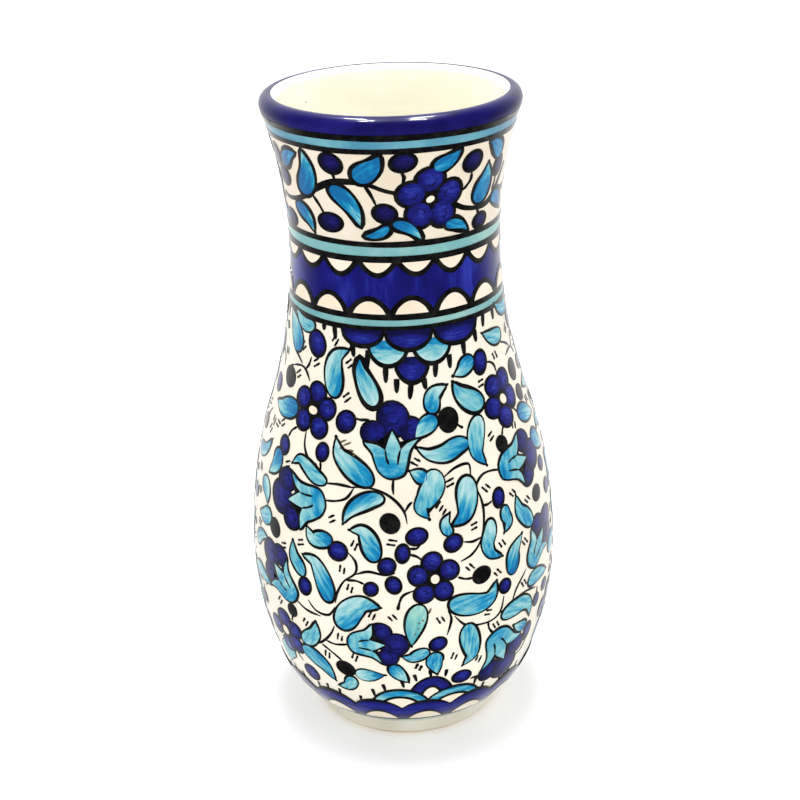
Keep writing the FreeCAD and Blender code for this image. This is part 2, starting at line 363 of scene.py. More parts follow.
INK = ink_glaze("black_ink", tint(7, 6, 8), tint(34, 36, 31))
COBALT = cobalt_glaze("cobalt_wash", tint(8, 8, 64), tint(20, 27, 126), tint(50, 68, 174))
NIGHT = cobalt_glaze("night_blue_wash", tint(8, 6, 44), tint(16, 12, 84), tint(34, 36, 134))
LEAF = leaf_glaze(
    "turquoise_wash",
    (
        (0.0, tint(176, 214, 214)),
        (0.38, tint(112, 184, 194)),
        (0.64, tint(22, 142, 186)),
        (0.95, tint(0, 100, 158)),
    ),
)
SEA = leaf_glaze(
    "sea_green_wash",
    ((0.0, tint(170, 212, 196)), (0.4, tint(124, 190, 186)), (0.9, tint(70, 158, 176))),
)
CREAM_PAINT = ground_glaze("cream_reserve", tint(246, 234, 214), tint(238, 222, 198))
DEEP_MARK = ink_glaze("deep_cobalt_mark", tint(10, 8, 60), tint(22, 20, 96))
SMUDGE = ink_glaze("thin_brown_ink", tint(84, 78, 52), tint(150, 140, 104))

RIM_GLAZE = band_glaze(
    "rim_cobalt", tint(8, 5, 60), tint(13, 9, 82), tint(28, 24, 112), (30, 30, 90), 0.4
)
UPPER_STRIPE_GLAZE = band_glaze(
    "upper_stripe_blue", tint(54, 116, 150), tint(80, 144, 168), tint(114, 170, 184), (40, 40, 30)
)
STRIPE_GLAZE = band_glaze(
    "stripe_turquoise", tint(88, 152, 164), tint(124, 178, 180), tint(156, 198, 190), (40, 40, 30)
)
WAVE_GLAZE = band_glaze("wave_cobalt", tint(6, 5, 74), tint(11, 13, 114), tint(42, 54, 166))
FRIEZE_GLAZE = ground_glaze("neck_cream", tint(236, 224, 205), tint(226, 212, 190))
BELLY_GLAZE = ground_glaze("belly_white", tint(245, 239, 222), tint(238, 230, 211))
LINING_GLAZE = ground_glaze("lining_cream", tint(255, 253, 238), tint(253, 249, 228), 0.74)
WASH_GLAZE = band_glaze(
    "foot_sea_wash", tint(96, 134, 140), tint(140, 176, 172), tint(196, 208, 190), (24, 24, 60)
)
FOOT_GLAZE = ground_glaze("foot_cream", tint(236, 232, 216), tint(221, 215, 197), 0.7)
CLAY = bare_clay("bare_clay")


# ------------------------------------------------------------------ turned rings

SPIN_STEPS = 240
LEVEL_STEP = 1.5


def dress(name, bm, material, replaced=()):
    """Makes a finished mesh a piece of the vase."""
    mesh = bpy.data.meshes.new(name)
    bm.to_mesh(mesh)
    bm.free()
    mesh.materials.append(material)
    piece = bpy.data.objects.new(name, mesh)
    bpy.context.scene.collection.objects.link(piece)
    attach(piece, "root")
    if replaced:
        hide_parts(*replaced)
    return piece


def turned(name, outline, material, replaced):
    """Turns a closed outline of (radius, level) once round the axis."""
    bm = bmesh.new()
    corners = [bm.verts.new((0, -r * MM, z * MM)) for r, z in outline]
    edges = [bm.edges.new(pair) for pair in zip(corners, corners[1:] + corners[:1])]
    bmesh.ops.spin(
        bm, geom=corners + edges, cent=(0, 0, 0), axis=(0, 0, 1), angle=math.tau,
        steps=SPIN_STEPS, use_merge=True,
    )
    bmesh.ops.remove_doubles(bm, verts=bm.verts, dist=1e-7)
    bmesh.ops.recalc_face_normals(bm, faces=bm.faces)
    sharpen(bm)
    return dress(name, bm, material, replaced)


def sharpen(bm, limit=math.radians(40)):
    """Smooth shading, kept crisp along the edges that turn sharply."""
    for face in bm.faces:
        face.smooth = True
    for edge in bm.edges:
        edge.smooth = edge.calc_face_angle(0.0) < limit


def levels(low, high, step=LEVEL_STEP):
    """Evenly spaced levels from low to high, both included."""
    count = max(1, math.ceil((high - low) / step))
    return [low + (high - low) * n / count for n in range(count + 1)]


def coat(low, high):
    """The closed outline of the outer coat between two levels."""
    skin = [(radius_at(z), z) for z in levels(low, high)]
    under = [(r - COAT_DEPTH, z) for r, z in reversed(skin)]
    return skin + under


def lip_arc(start, end, inset=0.0, count=14):
    """Points round the lip, by angle from straight outward."""
    size = LIP_RADIUS - inset
    turns = [start + (end - start) * n / count for n in range(count + 1)]
    return [(CREST_RADIUS + size * math.cos(t), LIP_LEVEL + size * math.sin(t)) for t in turns]


def rim_outline():
    """The cobalt coat: up the flare, over the lip, and just down inside it."""
    join = lip_join(WAIST_RADIUS, FLARE, 1)
    skin = [(radius_at(z), z) for z in levels(RIM_EDGE, join, 0.5)]
    start = math.asin((join - LIP_LEVEL) / LIP_RADIUS)
    end = math.acos((LAP_RADIUS - CREST_RADIUS) / LIP_RADIUS)
    over = lip_arc(start, end)[1:]
    under = [(r - COAT_DEPTH, z) for r, z in skin]
    return skin + over + lip_arc(end, start, COAT_DEPTH) + under[::-1][1:]


def hollow_radius(level, wall):
    """The hollow's radius at a level, inside a wall of a thickness."""
    if level > WAIST_LEVEL:
        rise = level - WAIST_LEVEL
        return WAIST_RADIUS - wall + INNER_FLARE - math.sqrt(INNER_FLARE**2 - rise * rise)
    return next(arc_at(arc, level) for arc in body_arcs(wall) if level <= arc[0])


def lining_outline():
    """The lining: from the lip down the hollow to the floor, where its corner is soft."""
    join = lip_join(WAIST_RADIUS - WALL, INNER_FLARE, -1)
    lap = math.acos((LAP_RADIUS - CREST_RADIUS) / LIP_RADIUS)
    end = math.pi - math.asin((join - LIP_LEVEL) / LIP_RADIUS)
    face, back = lip_arc(lap, end), lip_arc(lap, end, COAT_DEPTH)
    under = FLOOR_LEVEL - COAT_DEPTH
    for line, low, wall in ((face, FLOOR_LEVEL + 1.6, WALL), (back, under, WALL - COAT_DEPTH)):
        line.extend((hollow_radius(z, wall), z) for z in levels(low, join, 2.0)[-2::-1])
    edge = hollow_radius(FLOOR_LEVEL, WALL)
    for inward, rise in ((0.3, 0.6), (1.4, 0.1), (3.0, 0.0)):
        face.append((edge - inward, FLOOR_LEVEL + rise))
    return face + [(0.0, FLOOR_LEVEL), (0.0, under)] + back[::-1]


def make_coats():
    """Every ring of ground glaze, in place of the CAD's coats."""
    turned("cobalt_lip", rim_outline(), RIM_GLAZE, ["rim_glaze"])
    turned("cream_lining", lining_outline(), LINING_GLAZE, ["lining_glaze"])
    turquoise, cream = "turquoise_glaze", "cream_ground_glaze"
    edges = (
        RIM_EDGE, FRIEZE_TOP, FRIEZE_END, WAVE_TOP, WAVE_END, BELLY_TOP, BELLY_END, WASH_END,
        GLAZE_STOP,
    )
    bands = (
        ("upper_turquoise_stripe", UPPER_STRIPE_GLAZE, turquoise, "upper_stripe_glaze"),
        ("neck_ground", FRIEZE_GLAZE, cream, "frieze_glaze"),
        ("middle_turquoise_stripe", STRIPE_GLAZE, turquoise, "middle_stripe_glaze"),
        ("wave_band_ground", WAVE_GLAZE, "cobalt_glaze", "wave_band_glaze"),
        ("lower_turquoise_stripe", STRIPE_GLAZE, turquoise, "lower_stripe_glaze"),
        ("belly_ground", BELLY_GLAZE, "white_ground_glaze", "belly_glaze"),
        ("foot_sea_stripe", WASH_GLAZE, "green_wash_glaze", "foot_stripe_glaze"),
        ("foot_cream_coat", FOOT_GLAZE, cream, "foot_glaze"),
    )
    for (name, material, slot, node), high, low in zip(bands, edges, edges[1:]):
        turned(name, coat(low, high), material, [node])
    for node in ("foot_ring", "floor_disc", "belly_wall", "neck_wall", "rim_bead"):
        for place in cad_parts[node].material_slots:
            place.material = CLAY


# ------------------------------------------------------------------ paint on the skin
#
# The skin is unrolled: across it is measured in degrees round the vase and up it in mm.
# A mark of paint is an outline there. It becomes a thin slab, cut finely enough to bend,
# and is wrapped onto the vase when its layer is finished.

CUT = 2.5  # how far apart a mark is cut, in degrees across and mm up
SUNK = -0.08  # how far below the skin a slab's underside lies
STEM_LIFT, INK_LIFT, FILL_LIFT, MARK_LIFT = 0.08, 0.12, 0.18, 0.24
STEP = 0.004  # how much higher each new mark of a layer lies than the last
STEPS = 6


class Coat:
    """A layer of paint: all of its marks are one piece in one colour."""

    def __init__(self, name, material, slot):
        self.name, self.material, self.slot = name, material, slot
        self.bm = bmesh.new()
        self.bm.loops.layers.float_color.new("wash")
        self.count = 0

    def add(self, outline, lift, washes=None):
        """Lays one mark: its outline on the skin, its height, and its wash at each point."""
        bm = bmesh.new()
        layer = bm.loops.layers.float_color.new("wash")
        face = bm.faces.new([bm.verts.new((across, up, 0.0)) for across, up in outline])
        if washes:
            for loop, wash in zip(face.loops, washes):
                loop[layer] = wash
        face.normal_update()
        bmesh.ops.triangulate(bm, faces=[face], ngon_method="EAR_CLIP")
        for axis in (0, 1):
            spots = [v.co[axis] for v in bm.verts]
            for n in range(math.ceil(min(spots) / CUT), math.floor(max(spots) / CUT) + 1):
                centre, across = [0.0, 0.0, 0.0], [0.0, 0.0, 0.0]
                centre[axis], across[axis] = n * CUT, 1.0
                bmesh.ops.bisect_plane(
                    bm, geom=bm.verts[:] + bm.edges[:] + bm.faces[:], dist=1e-5,
                    plane_co=centre, plane_no=across,
                )
        raised = bmesh.ops.extrude_face_region(bm, geom=bm.faces[:])["geom"]
        height = lift + STEP * (self.count % STEPS)
        self.count += 1
        for vert in bm.verts:
            vert.co.z = SUNK
        for vert in raised:
            if isinstance(vert, bmesh.types.BMVert):
                vert.co.z = height
        bmesh.ops.recalc_face_normals(bm, faces=bm.faces)
        sharpen(bm)
        mesh = bpy.data.meshes.new("mark")
        bm.to_mesh(mesh)
        bm.free()
        self.bm.from_mesh(mesh)
        bpy.data.meshes.remove(mesh)

    def finish(self):
        """Wraps the layer onto the vase and makes it a piece."""
        if not self.count:
            self.bm.free()
            return
        ends = [
            face for face in self.bm.faces
            if all(abs(abs(v.co.x) - FULL) < 1e-3 for v in face.verts)
        ]
        bmesh.ops.delete(self.bm, geom=ends, context="FACES_ONLY")
        for vert in self.bm.verts:
            vert.co = on_vase(*vert.co)
        if ends:
            bmesh.ops.remove_doubles(self.bm, verts=self.bm.verts, dist=1e-7)
        dress(self.name, self.bm, self.material)


def skin_point(place, local):
    """A point local (across, up) mm from a place on the skin, as (degrees, level)."""
    level = min(max(place[1] + local[1], GLAZE_STOP + 0.3), RIM_EDGE)
    return place[0] + math.degrees(local[0] / radius_at(level)), level


def local_point(place, point):
    """The reverse: a point of the skin as mm from a place."""
    across = math.radians(point[0] - place[0]) * radius_at(point[1])
    return across, point[1] - place[1]


def turned_by(point, turn):
    c, s = math.cos(turn), math.sin(turn)
    return point[0] * c - point[1] * s, point[0] * s + point[1] * c


def slope(start, end):
    """The slope of a smooth line at a point, from the points before and after it."""
    return (end[0] - start[0]) / 2, (end[1] - start[1]) / 2


def curve(points, closed=True, corners=(), steps=6):
    """A smooth line through points. At a corner it turns sharply instead."""
    count = len(points)
    line = []
    for n in range(count if closed else count - 1):
        a, b = points[n], points[(n + 1) % count]
        before = points[n - 1] if closed or n else a
        after = points[(n + 2) % count] if closed or n + 2 < count else b
        lead = (0, 0) if n in corners else slope(before, b)
        tail = (0, 0) if (n + 1) % count in corners else slope(a, after)
        for k in range(steps):
            t = k / steps
            rise = 3 * t**2 - 2 * t**3
            shares = (1 - rise, t**3 - 2 * t**2 + t, rise, t**3 - t**2)
            line.append(tuple(
                sum(share * end[i] for share, end in zip(shares, (a, lead, b, tail)))
                for i in (0, 1)
            ))
    return line if closed else line + [points[-1]]


def widened(outline, width, wobble=0.25):
    """An outline grown outward by a brush's width, a little unevenly."""
    count = len(outline)
    area = sum(
        a[0] * b[1] - b[0] * a[1] for a, b in zip(outline, outline[1:] + outline[:1])
    )
    side = 1 if area > 0 else -1
    phase = rng.uniform(0, math.tau)
    grown = []
    for n, (x, y) in enumerate(outline):
        ax, ay = outline[n - 1]
        bx, by = outline[(n + 1) % count]
        dx, dy = bx - ax, by - ay
        size = math.hypot(dx, dy) or 1.0
        grow = width * (1 + wobble * math.sin(phase + math.tau * n / count * 2))
        grown.append((x + side * dy / size * grow, y - side * dx / size * grow))
    return grown


def washes_for(outline, depth, along=(1.0, 0.0)):
    """Each point's place along and across its mark, from -1 to 1, its number and depth."""
    ax, ay = along
    turned_points = [(x * ax + y * ay, y * ax - x * ay) for x, y in outline]
    lows = [min(p[k] for p in turned_points) for k in (0, 1)]
    highs = [max(p[k] for p in turned_points) for k in (0, 1)]
    own = rng.random()
    base, tilt_along, tilt_across = depth
    washes = []
    for point in turned_points:
        a, b = (
            (2 * point[k] - lows[k] - highs[k]) / (highs[k] - lows[k] or 1.0) for k in (0, 1)
        )
        washes.append((a, b, own, base + tilt_along * a + tilt_across * b))
    return washes


def lay(coat, place, outline, lift, depth=(0.5, 0.0, 0.0), turn=0.0, along=(1.0, 0.0)):
    """Lays a mark drawn in mm, turned about its own origin, at a place on the skin."""
    washes = washes_for(outline, depth, along)
    skin = [skin_point(place, turned_by(p, turn)) for p in outline]
    coat.add(skin, lift, washes)


class Region:
    """The coats of paint that one part of the vase carries.

    line is its outlines' width in mm, and load how deep its turquoise wash is.
    """

    COATS = (
        ("stems", INK, "black_line_glaze"),
        ("outlines", INK, "black_line_glaze"),
        ("leaf_washes", LEAF, "turquoise_glaze"),
        ("sea_washes", SEA, "turquoise_glaze"),
        ("cobalt_washes", COBALT, "cobalt_glaze"),
        ("night_washes", NIGHT, "cobalt_glaze"),
        ("reserves", CREAM_PAINT, "cream_ground_glaze"),
        ("fine_marks", DEEP_MARK, "cobalt_glaze"),
        ("smudges", SMUDGE, "black_line_glaze"),
    )

    def __init__(self, name, line, load=0.44):
        self.line, self.load = line, load
        for kind, material, slot in self.COATS:
            setattr(self, kind, Coat(f"{name}_{kind}", material, slot))

    def finish(self):
        for kind, _, _ in self.COATS:
            getattr(self, kind).finish()


# ------------------------------------------------------------------ the painter's marks


def brush_line(region, points, width, coat=None, lift=STEM_LIFT, blunt=0.35):
    """A stroke along points of the skin, thinner towards its ends."""
    place = points[0]
    path = curve([local_point(place, p) for p in points], closed=False, steps=5)
    count = len(path)
    left, right = [], []
    phase = rng.uniform(0, math.tau)
    for n, (x, y) in enumerate(path):
        ax, ay = path[max(n - 1, 0)]
        bx, by = path[min(n + 1, count - 1)]
        dx, dy = bx - ax, by - ay
        size = math.hypot(dx, dy) or 1.0
        share = n / (count - 1)
        taper = blunt + (1 - blunt) * min(1.0, 5 * share, 5 * (1 - share))
        half = width / 2 * taper * (1 + 0.18 * math.sin(phase + 9 * share))
        left.append((x - dy / size * half, y + dx / size * half))
        right.append((x + dy / size * half, y - dx / size * half))
    lay(coat or region.stems, place, left + right[::-1], lift)


def bent(base, tip, bend):
    """A leaf's spine from its ends and how far it bows to the left, as a share of it."""
    end = local_point(base, tip)
    bow = [
        (end[0] * k - end[1] * bend * s, end[1] * k + end[0] * bend * s)
        for k, s in ((0.0, 0.0), (0.33, 0.85), (0.67, 0.85), (1.0, 0.0))
    ]
    return [skin_point(base, p) for p in bow]


LEAF_BASE, LEAF_TIP = 0.5, 0.95  # how blunt its base is, and how drawn out its tip
LEAF_TAIL = (-2.4, -1.0, 0.4, 1.5)  # the flick of the brush through its tip, in mm from it
LEAF_TILT = 0.42  # how much deeper its wash is at the dark end
LEAF_WAYS = {"base": (-1, 0), "tip": (1, 0), "left": (0, 1), "right": (0, -1), "none": (0, 0)}


def leaf_outline(spine, width):
    """A leaf about its spine: rounded at the base, drawn out to a point at the tip."""
    path = curve(spine, closed=False, steps=6)
    path.insert(1, tuple((a + b) / 2 for a, b in zip(*path[:2])))
    runs = [0.0]
    for a, b in zip(path, path[1:]):
        runs.append(runs[-1] + math.hypot(b[0] - a[0], b[1] - a[1]))
    peak = LEAF_BASE / (LEAF_BASE + LEAF_TIP)
    most = peak**LEAF_BASE * (1 - peak) ** LEAF_TIP
    left, right = [], []
    for n, (x, y) in enumerate(path):
        t = runs[n] / runs[-1]
        ax, ay = path[max(n - 1, 0)]
        bx, by = path[min(n + 1, len(path) - 1)]
        size = math.hypot(bx - ax, by - ay)
        half = width / 2 * (t**LEAF_BASE * (1 - t) ** LEAF_TIP) / most
        for line, way in ((left, 1), (right, -1)):
            line.append((x - way * half * (by - ay) / size, y + way * half * (bx - ax) / size))
    return left + right[-2:0:-1]


def leaf(region, spine, width, dark="base", thick=1.0, sea=False):
    """A painted leaf along places on the skin. dark says where its wash is deepest."""
    base = spine[0]
    local = [local_point(base, p) for p in spine]
    outline = leaf_outline(local, width)
    lay(region.outlines, base, widened(outline, region.line * thick), INK_LIFT)
    (px, py), (tx, ty) = local[-2:]
    size = math.hypot(tx - px, ty - py)
    tail = [(tx + (tx - px) / size * k, ty + (ty - py) / size * k) for k in LEAF_TAIL]
    brush_line(region, [skin_point(base, p) for p in tail], region.line * 1.3, blunt=0.15)
    length = math.hypot(*local[-1])
    along = (local[-1][0] / length, local[-1][1] / length)
    tilt = LEAF_WAYS[dark]
    depth = (region.load + rng.uniform(-0.08, 0.08), LEAF_TILT * tilt[0], LEAF_TILT * tilt[1])
    coat = region.sea_washes if sea else region.leaf_washes
    lay(coat, base, widened(outline, -0.05, 0.0), FILL_LIFT, depth, along=along)


def round_outline(across, up, turn=0.0, count=20, wobble=0.05):
    phase = rng.uniform(0, math.tau)
    outline = []
    for n in range(count):
        t = math.tau * n / count
        grow = 1 + wobble * math.sin(2 * t + phase)
        outline.append(turned_by((across * grow * math.cos(t), up * grow * math.sin(t)), turn))
    return outline


def berry(region, place, across, up=None, night=False):
    """A round cobalt berry in a black outline."""
    outline = round_outline(across, up or across)
    lay(region.outlines, place, outline, INK_LIFT)
    share = 1 - region.line / across
    inner = [(x * share, y * share) for x, y in outline]
    coat = region.night_washes if night else region.cobalt_washes
    lay(coat, place, inner, FILL_LIFT, (0.55, 0.12, 0.2))


def black_berry(region, place, across, up):
    lay(region.outlines, place, round_outline(across, up), FILL_LIFT)


def rosette(region, centre, petals, size, eye):
    """Round cobalt petals about a cream eye. petals are places on the skin."""
    outlines = [(spot, round_outline(size * 1.03, size)) for spot in petals]
    lay(region.outlines, centre, round_outline(size * 1.1, size * 1.05), INK_LIFT)
    for spot, outline in outlines:
        lay(region.outlines, spot, widened(outline, region.line * 0.55), INK_LIFT)
    share = 1 - region.line * 0.45 / size
    for spot, outline in outlines:
        petal = [(x * share, y * share) for x, y in outline]
        lay(region.cobalt_washes, spot, petal, FILL_LIFT, (0.62, 0.1, 0.15))
        eye_mark(region, spot, size, size, 0.0, MARK_LIFT)
    lay(region.outlines, centre, round_outline(eye * 1.35, eye * 1.35), FILL_LIFT + 0.03)
    lay(region.reserves, centre, round_outline(eye, eye * 0.9, wobble=0.12), MARK_LIFT + 0.02)


# a tulip's cup, drawn standing up from its base: sides, tips and notches, in mm
CUP = (
    (0.0, 0.0), (3.4, 1.1), (4.7, 3.6), (5.4, 7.0), (6.6, 10.2), (9.4, 13.2), (5.4, 12.0),
    (2.9, 9.8), (1.7, 12.8), (-0.3, 16.4), (-1.9, 12.8), (-3.0, 9.6), (-6.0, 11.4), (-11.0, 12.0),
    (-8.0, 8.8), (-6.9, 5.6), (-5.5, 2.4), (-2.9, 0.4),
)
CUP_CORNERS = (5, 7, 9, 11, 13)
CUP_WASH = (0.42, 0.05, -0.25)
# each lobe: across, up, and its half width and height
LOBES = ((0.2, 20.6, 6.0, 5.8), (-7.3, 15.4, 4.4, 4.3), (7.0, 16.6, 4.2, 4.4))
FOLDS = (((2.8, 10.2), (2.0, 7.2), (1.6, 4.4)), ((-3.0, 10.0), (-2.6, 7.0), (-1.6, 4.6)))


def eye_mark(region, spot, wide, tall, turn, lift):
    """A short dark curl inside a petal."""
    start = rng.uniform(0.0, math.tau)
    size = rng.uniform(0.3, 0.5)
    curl = [
        turned_by((wide * size * math.cos(start + t), tall * size * math.sin(start + t)), turn)
        for t in (0.0, 0.8, 1.6, 2.4)
    ]
    brush_line(region, [skin_point(spot, p) for p in curl], 0.5, region.fine_marks, lift, 0.2)


def tulip(region, base, toward, scale, squash):
    """A cobalt flower of three lobes in a three-pointed turquoise cup."""
    aim = local_point(base, toward)
    turn = math.atan2(aim[1], aim[0]) - math.pi / 2
    k = scale
    for x, y, wide, tall in LOBES:
        spot = skin_point(base, turned_by((x * k * squash, y * k), turn))
        outline = [turned_by(p, turn) for p in round_outline(wide * k * squash, tall * k)]
        lay(region.outlines, spot, widened(outline, region.line * 0.8), INK_LIFT)
        lay(region.cobalt_washes, spot, outline, FILL_LIFT - 0.03, (0.45, 0.1, 0.1))
        for _ in range(2):
            eye_mark(region, spot, wide * k, tall * k, turn, FILL_LIFT)
    cup = curve([(x * k * squash, y * k) for x, y in CUP], corners=CUP_CORNERS, steps=4)
    lay(region.outlines, base, widened(cup, region.line), FILL_LIFT, turn=turn)
    washes = washes_for(cup, CUP_WASH)
    skin = [skin_point(base, turned_by(p, turn)) for p in cup]
    region.leaf_washes.add(skin, MARK_LIFT, washes)
    for fold in FOLDS:
        line = [skin_point(base, turned_by((x * k * squash, y * k), turn)) for x, y in fold]
        brush_line(region, line, 0.8, lift=MARK_LIFT + 0.04, blunt=0.2)


HATCH_GAP = 1.75


def hatch(region, place, lean, count, size=3.0, width=0.8):
    """Two or three short parallel strokes that fill a gap."""
    turn = math.radians(lean)
    for n in range(count):
        shift = (n - (count - 1) / 2) * HATCH_GAP
        reach = size / 2 * rng.uniform(0.85, 1.15)
        ends = [turned_by((way * reach + n * 0.5, shift), turn) for way in (-1, 0, 1)]
        brush_line(region, [skin_point(place, p) for p in ends], width, lift=INK_LIFT, blunt=0.7)


TICK_SIDE = ((1.0, 0.0), (1.05, 0.35), (0.8, 0.8), (0.35, 1.0))  # as shares of its size


def tick(region, place, length, width, lean):
    """A short thick stroke that hangs from a place and narrows to a round end."""
    side = [(width / 2 * x, -length * y) for x, y in TICK_SIDE]
    outline = side + [(-x, y) for x, y in reversed(side)]
    lay(region.outlines, place, outline[::-1], INK_LIFT - 0.01, turn=math.radians(lean))


# ------------------------------------------------------------------ lines and bands


def strip(coat, low, high, lift, wave=0.12, depth=(0.5, 0.0, 0.0), step=2):
    """A band of paint right round the vase, its edges drawn by a slightly unsteady hand."""
    shakes = [(rng.randint(2, 9), rng.uniform(0, math.tau)) for _ in range(4)]

    def edge(level, across, pair):
        drift = sum(math.sin(math.radians(across) * n + p) for n, p in pair)
        return level(across) + wave * drift / 2

    turns = [-FULL + step * n for n in range(int(TURN / step) + 1)]
    below = [(a, edge(low, a, shakes[:2])) for a in turns]
    above = [(a, edge(high, a, shakes[2:])) for a in turns]
    coat.add(below + above[::-1], lift, washes_for(below + above[::-1], depth))


def flat(level):
    """An edge at one level all round."""
    return lambda across: level


BAND_LINES = (
    (242.2, 244.4), (237.5, 239.4), (203.6, 205.6), (197.8, 200.3), (177.2, 179.7), (173.0, 175.0),
)


def make_band_lines():
    """The black lines along both edges of each turquoise stripe."""
    lines = Coat("band_lines", INK, "black_line_glaze")
    for low, high in BAND_LINES:
        strip(lines, flat(low), flat(high), INK_LIFT)
    lines.finish()


# the cream half-moons under the middle stripe, and the hills over the lower one
MOONS, MOON_START, MOON_LEVEL = 18, -19.6, 198.2
HILLS, HILL_START, HILL_LEVEL = 16, -3.2, 179.2
# how far each black curve passes the next, and how far in its cream lies, in degrees
MOON_LAP, MOON_LINE = 1.3, 2.6
HILL_LAP, HILL_LINE = 1.2, 2.7


def dip(span, depth, shape=0.95):
    """A hanging curve from one crest to the next, as (across, up) from the first."""
    shares = [n / 12 for n in range(13)]
    return [(span * s, -depth * math.sin(math.pi * s) ** shape) for s in shares]


def make_wave_band():
    """Cream half-moons above and cream hills below, each in a thick black line."""
    band = Region("wave_band", 1.6)
    span = TURN / MOONS
    for n in range(MOONS):
        start = MOON_START + span * n + rng.uniform(-0.4, 0.4)
        drop = rng.uniform(5.3, 6.1)
        line = dip(span + 2 * MOON_LAP, drop + 0.3)
        band.outlines.add([(start - MOON_LAP + a, MOON_LEVEL + d) for a, d in line], INK_LIFT)
        moon = dip(span - 2 * MOON_LINE, drop - 1.9, 0.85)
        inner = [(start + MOON_LINE + a, MOON_LEVEL - 0.2 + d) for a, d in moon]
        band.reserves.add(inner, FILL_LIFT)
    span = TURN / HILLS
    for n in range(HILLS):
        start = HILL_START + span * n + rng.uniform(-0.5, 0.5)
        rise = rng.uniform(6.6, 7.6)
        line = dip(span + 2 * HILL_LAP, rise, 0.8)
        band.outlines.add([(start - HILL_LAP + a, HILL_LEVEL - d) for a, d in line], INK_LIFT)
        hill = dip(span - 2 * HILL_LINE, rise - 2.1, 0.7)
        inner = [(start + HILL_LINE + a, HILL_LEVEL + 0.2 - d) for a, d in hill]
        band.reserves.add(inner, FILL_LIFT)
    band.finish()


def dome(centre, half, base, top, power=0.5):
    """A dome's outline on the skin. A top below its base makes it hang."""
    shares = [n / 9 - 1 for n in range(19)]
    return [(centre + half * s, base + (top - base) * max(1 - s * s, 0.0) ** power) for s in shares]


SCALE_LINE = 1.785  # the black line round a scale
# each row of a pendant's scales, lowest first: shift, half width, base and tip
SCALE_ROWS = (
    ((0.0, 9.5, 164.0, 153.8),),
    ((-11.5, 11.2, 170.0, 160.0), (10.5, 11.2, 170.0, 160.0)),
    ((-24.5, 12.0, 173.6, 166.8), (-1.0, 13.0, 173.6, 165.6), (24.5, 14.0, 173.6, 165.6)),
)
SCALE_DEEP, SCALE_PALE = (0.55, 0.0, -0.3), (0.4, -0.1, 0.45)
# shift, level and length
PENDANT_TICKS = (
    (-29.8, 169.0, 5.6), (-25.0, 163.2, 2.8), (-21.3, 166.3, 7.6), (-12.8, 160.6, 5.6),
    (-7.6, 156.4, 5.0), (-1.0, 154.2, 5.2), (5.2, 156.0, 4.0), (11.6, 160.6, 4.8),
    (19.0, 163.0, 5.0), (27.6, 166.6, 5.4), (35.6, 169.0, 4.4),
)


def scale_mark(region, centre, half, base, tip, ground, lift, depth):
    """A hanging scale: a black dome with a coloured one inside it."""
    region.outlines.add(dome(centre, half, base, tip), lift)
    inner = dome(centre, half - SCALE_LINE, base, tip + SCALE_LINE)
    ground.add(inner, lift + 0.05, washes_for(inner, depth))


def make_pendant(region, centre):
    """Three rows of scales hanging from the stripe, fringed with ticks."""
    for n, row in enumerate(SCALE_ROWS):
        ground = region.leaf_washes if n == 1 else region.cobalt_washes
        depth = SCALE_PALE if n == 1 else SCALE_DEEP
        for shift, half, base, tip in row:
            lift = INK_LIFT + 0.09 * n
            scale_mark(region, centre + shift, half, base, tip, ground, lift, depth)
    for shift, level, length in PENDANT_TICKS:
        tick(region, (centre + shift, level), length, 2.0, rng.uniform(-8, 8))


ARCHES = 17
ARCH_START = 7.7
ARCH_FOOT = 12.6
ARCH_TOP = 26.6
ARCH_SHARE = 0.74  # how much of each half circle stands clear of the next
HEEL_STACKS = (0.0, 127.06, -127.06)
STACK_BASE = 21.5
# a stack's arches: shift and top. The tall one stands behind the other two.
TALL_ARCH = (9.4, 39.4)
LOW_ARCHES = ((-3.4, 33.3), (19.4, 32.3))
ARCH_TICKS = (-7.0, -1.5, 4.5)  # where the plain row's ticks stand along each arch
STACK_REACH = (-15, 31)  # the stretch of the row that a stack stands over, in degrees
# the ticks over a stack: shift, level, length and lean
STACK_TICKS = (
    (-14.6, 32.4, 4.4, 8), (-10.0, 35.6, 4.0, 10), (-2.6, 38.2, 4.2, 12), (2.4, 41.0, 3.8, 14),
    (8.4, 42.8, 3.8, 8), (15.0, 41.8, 3.6, -6), (28.6, 33.2, 3.8, -4),
)


def arch_edge(drop):
    """The scalloped top edge of the heel's arches, lowered by a line's width."""
    span = TURN / ARCHES

    def level(across):
        share = ((across - ARCH_START) / span + 0.5) % 1.0 * 2 - 1
        rise = ARCH_TOP - drop - ARCH_FOOT
        return ARCH_FOOT + rise * math.sqrt(1 - (share * ARCH_SHARE) ** 2)

    return level


def arch_mark(region, centre, half, top, band, colour, depth, lift):
    """A standing arch: a coloured bow between black lines, over a cream window."""
    region.outlines.add(dome(centre, half, STACK_BASE, top), lift)
    bow = dome(centre, half - 1.1, STACK_BASE, top - 1.1)
    colour.add(bow, lift + 0.04, washes_for(bow, depth))
    region.outlines.add(dome(centre, half - band, STACK_BASE, top - band), lift + 0.08)
    window = dome(centre, half - band - 1.4, STACK_BASE, top - band - 1.3)
    region.reserves.add(window, lift + 0.12)


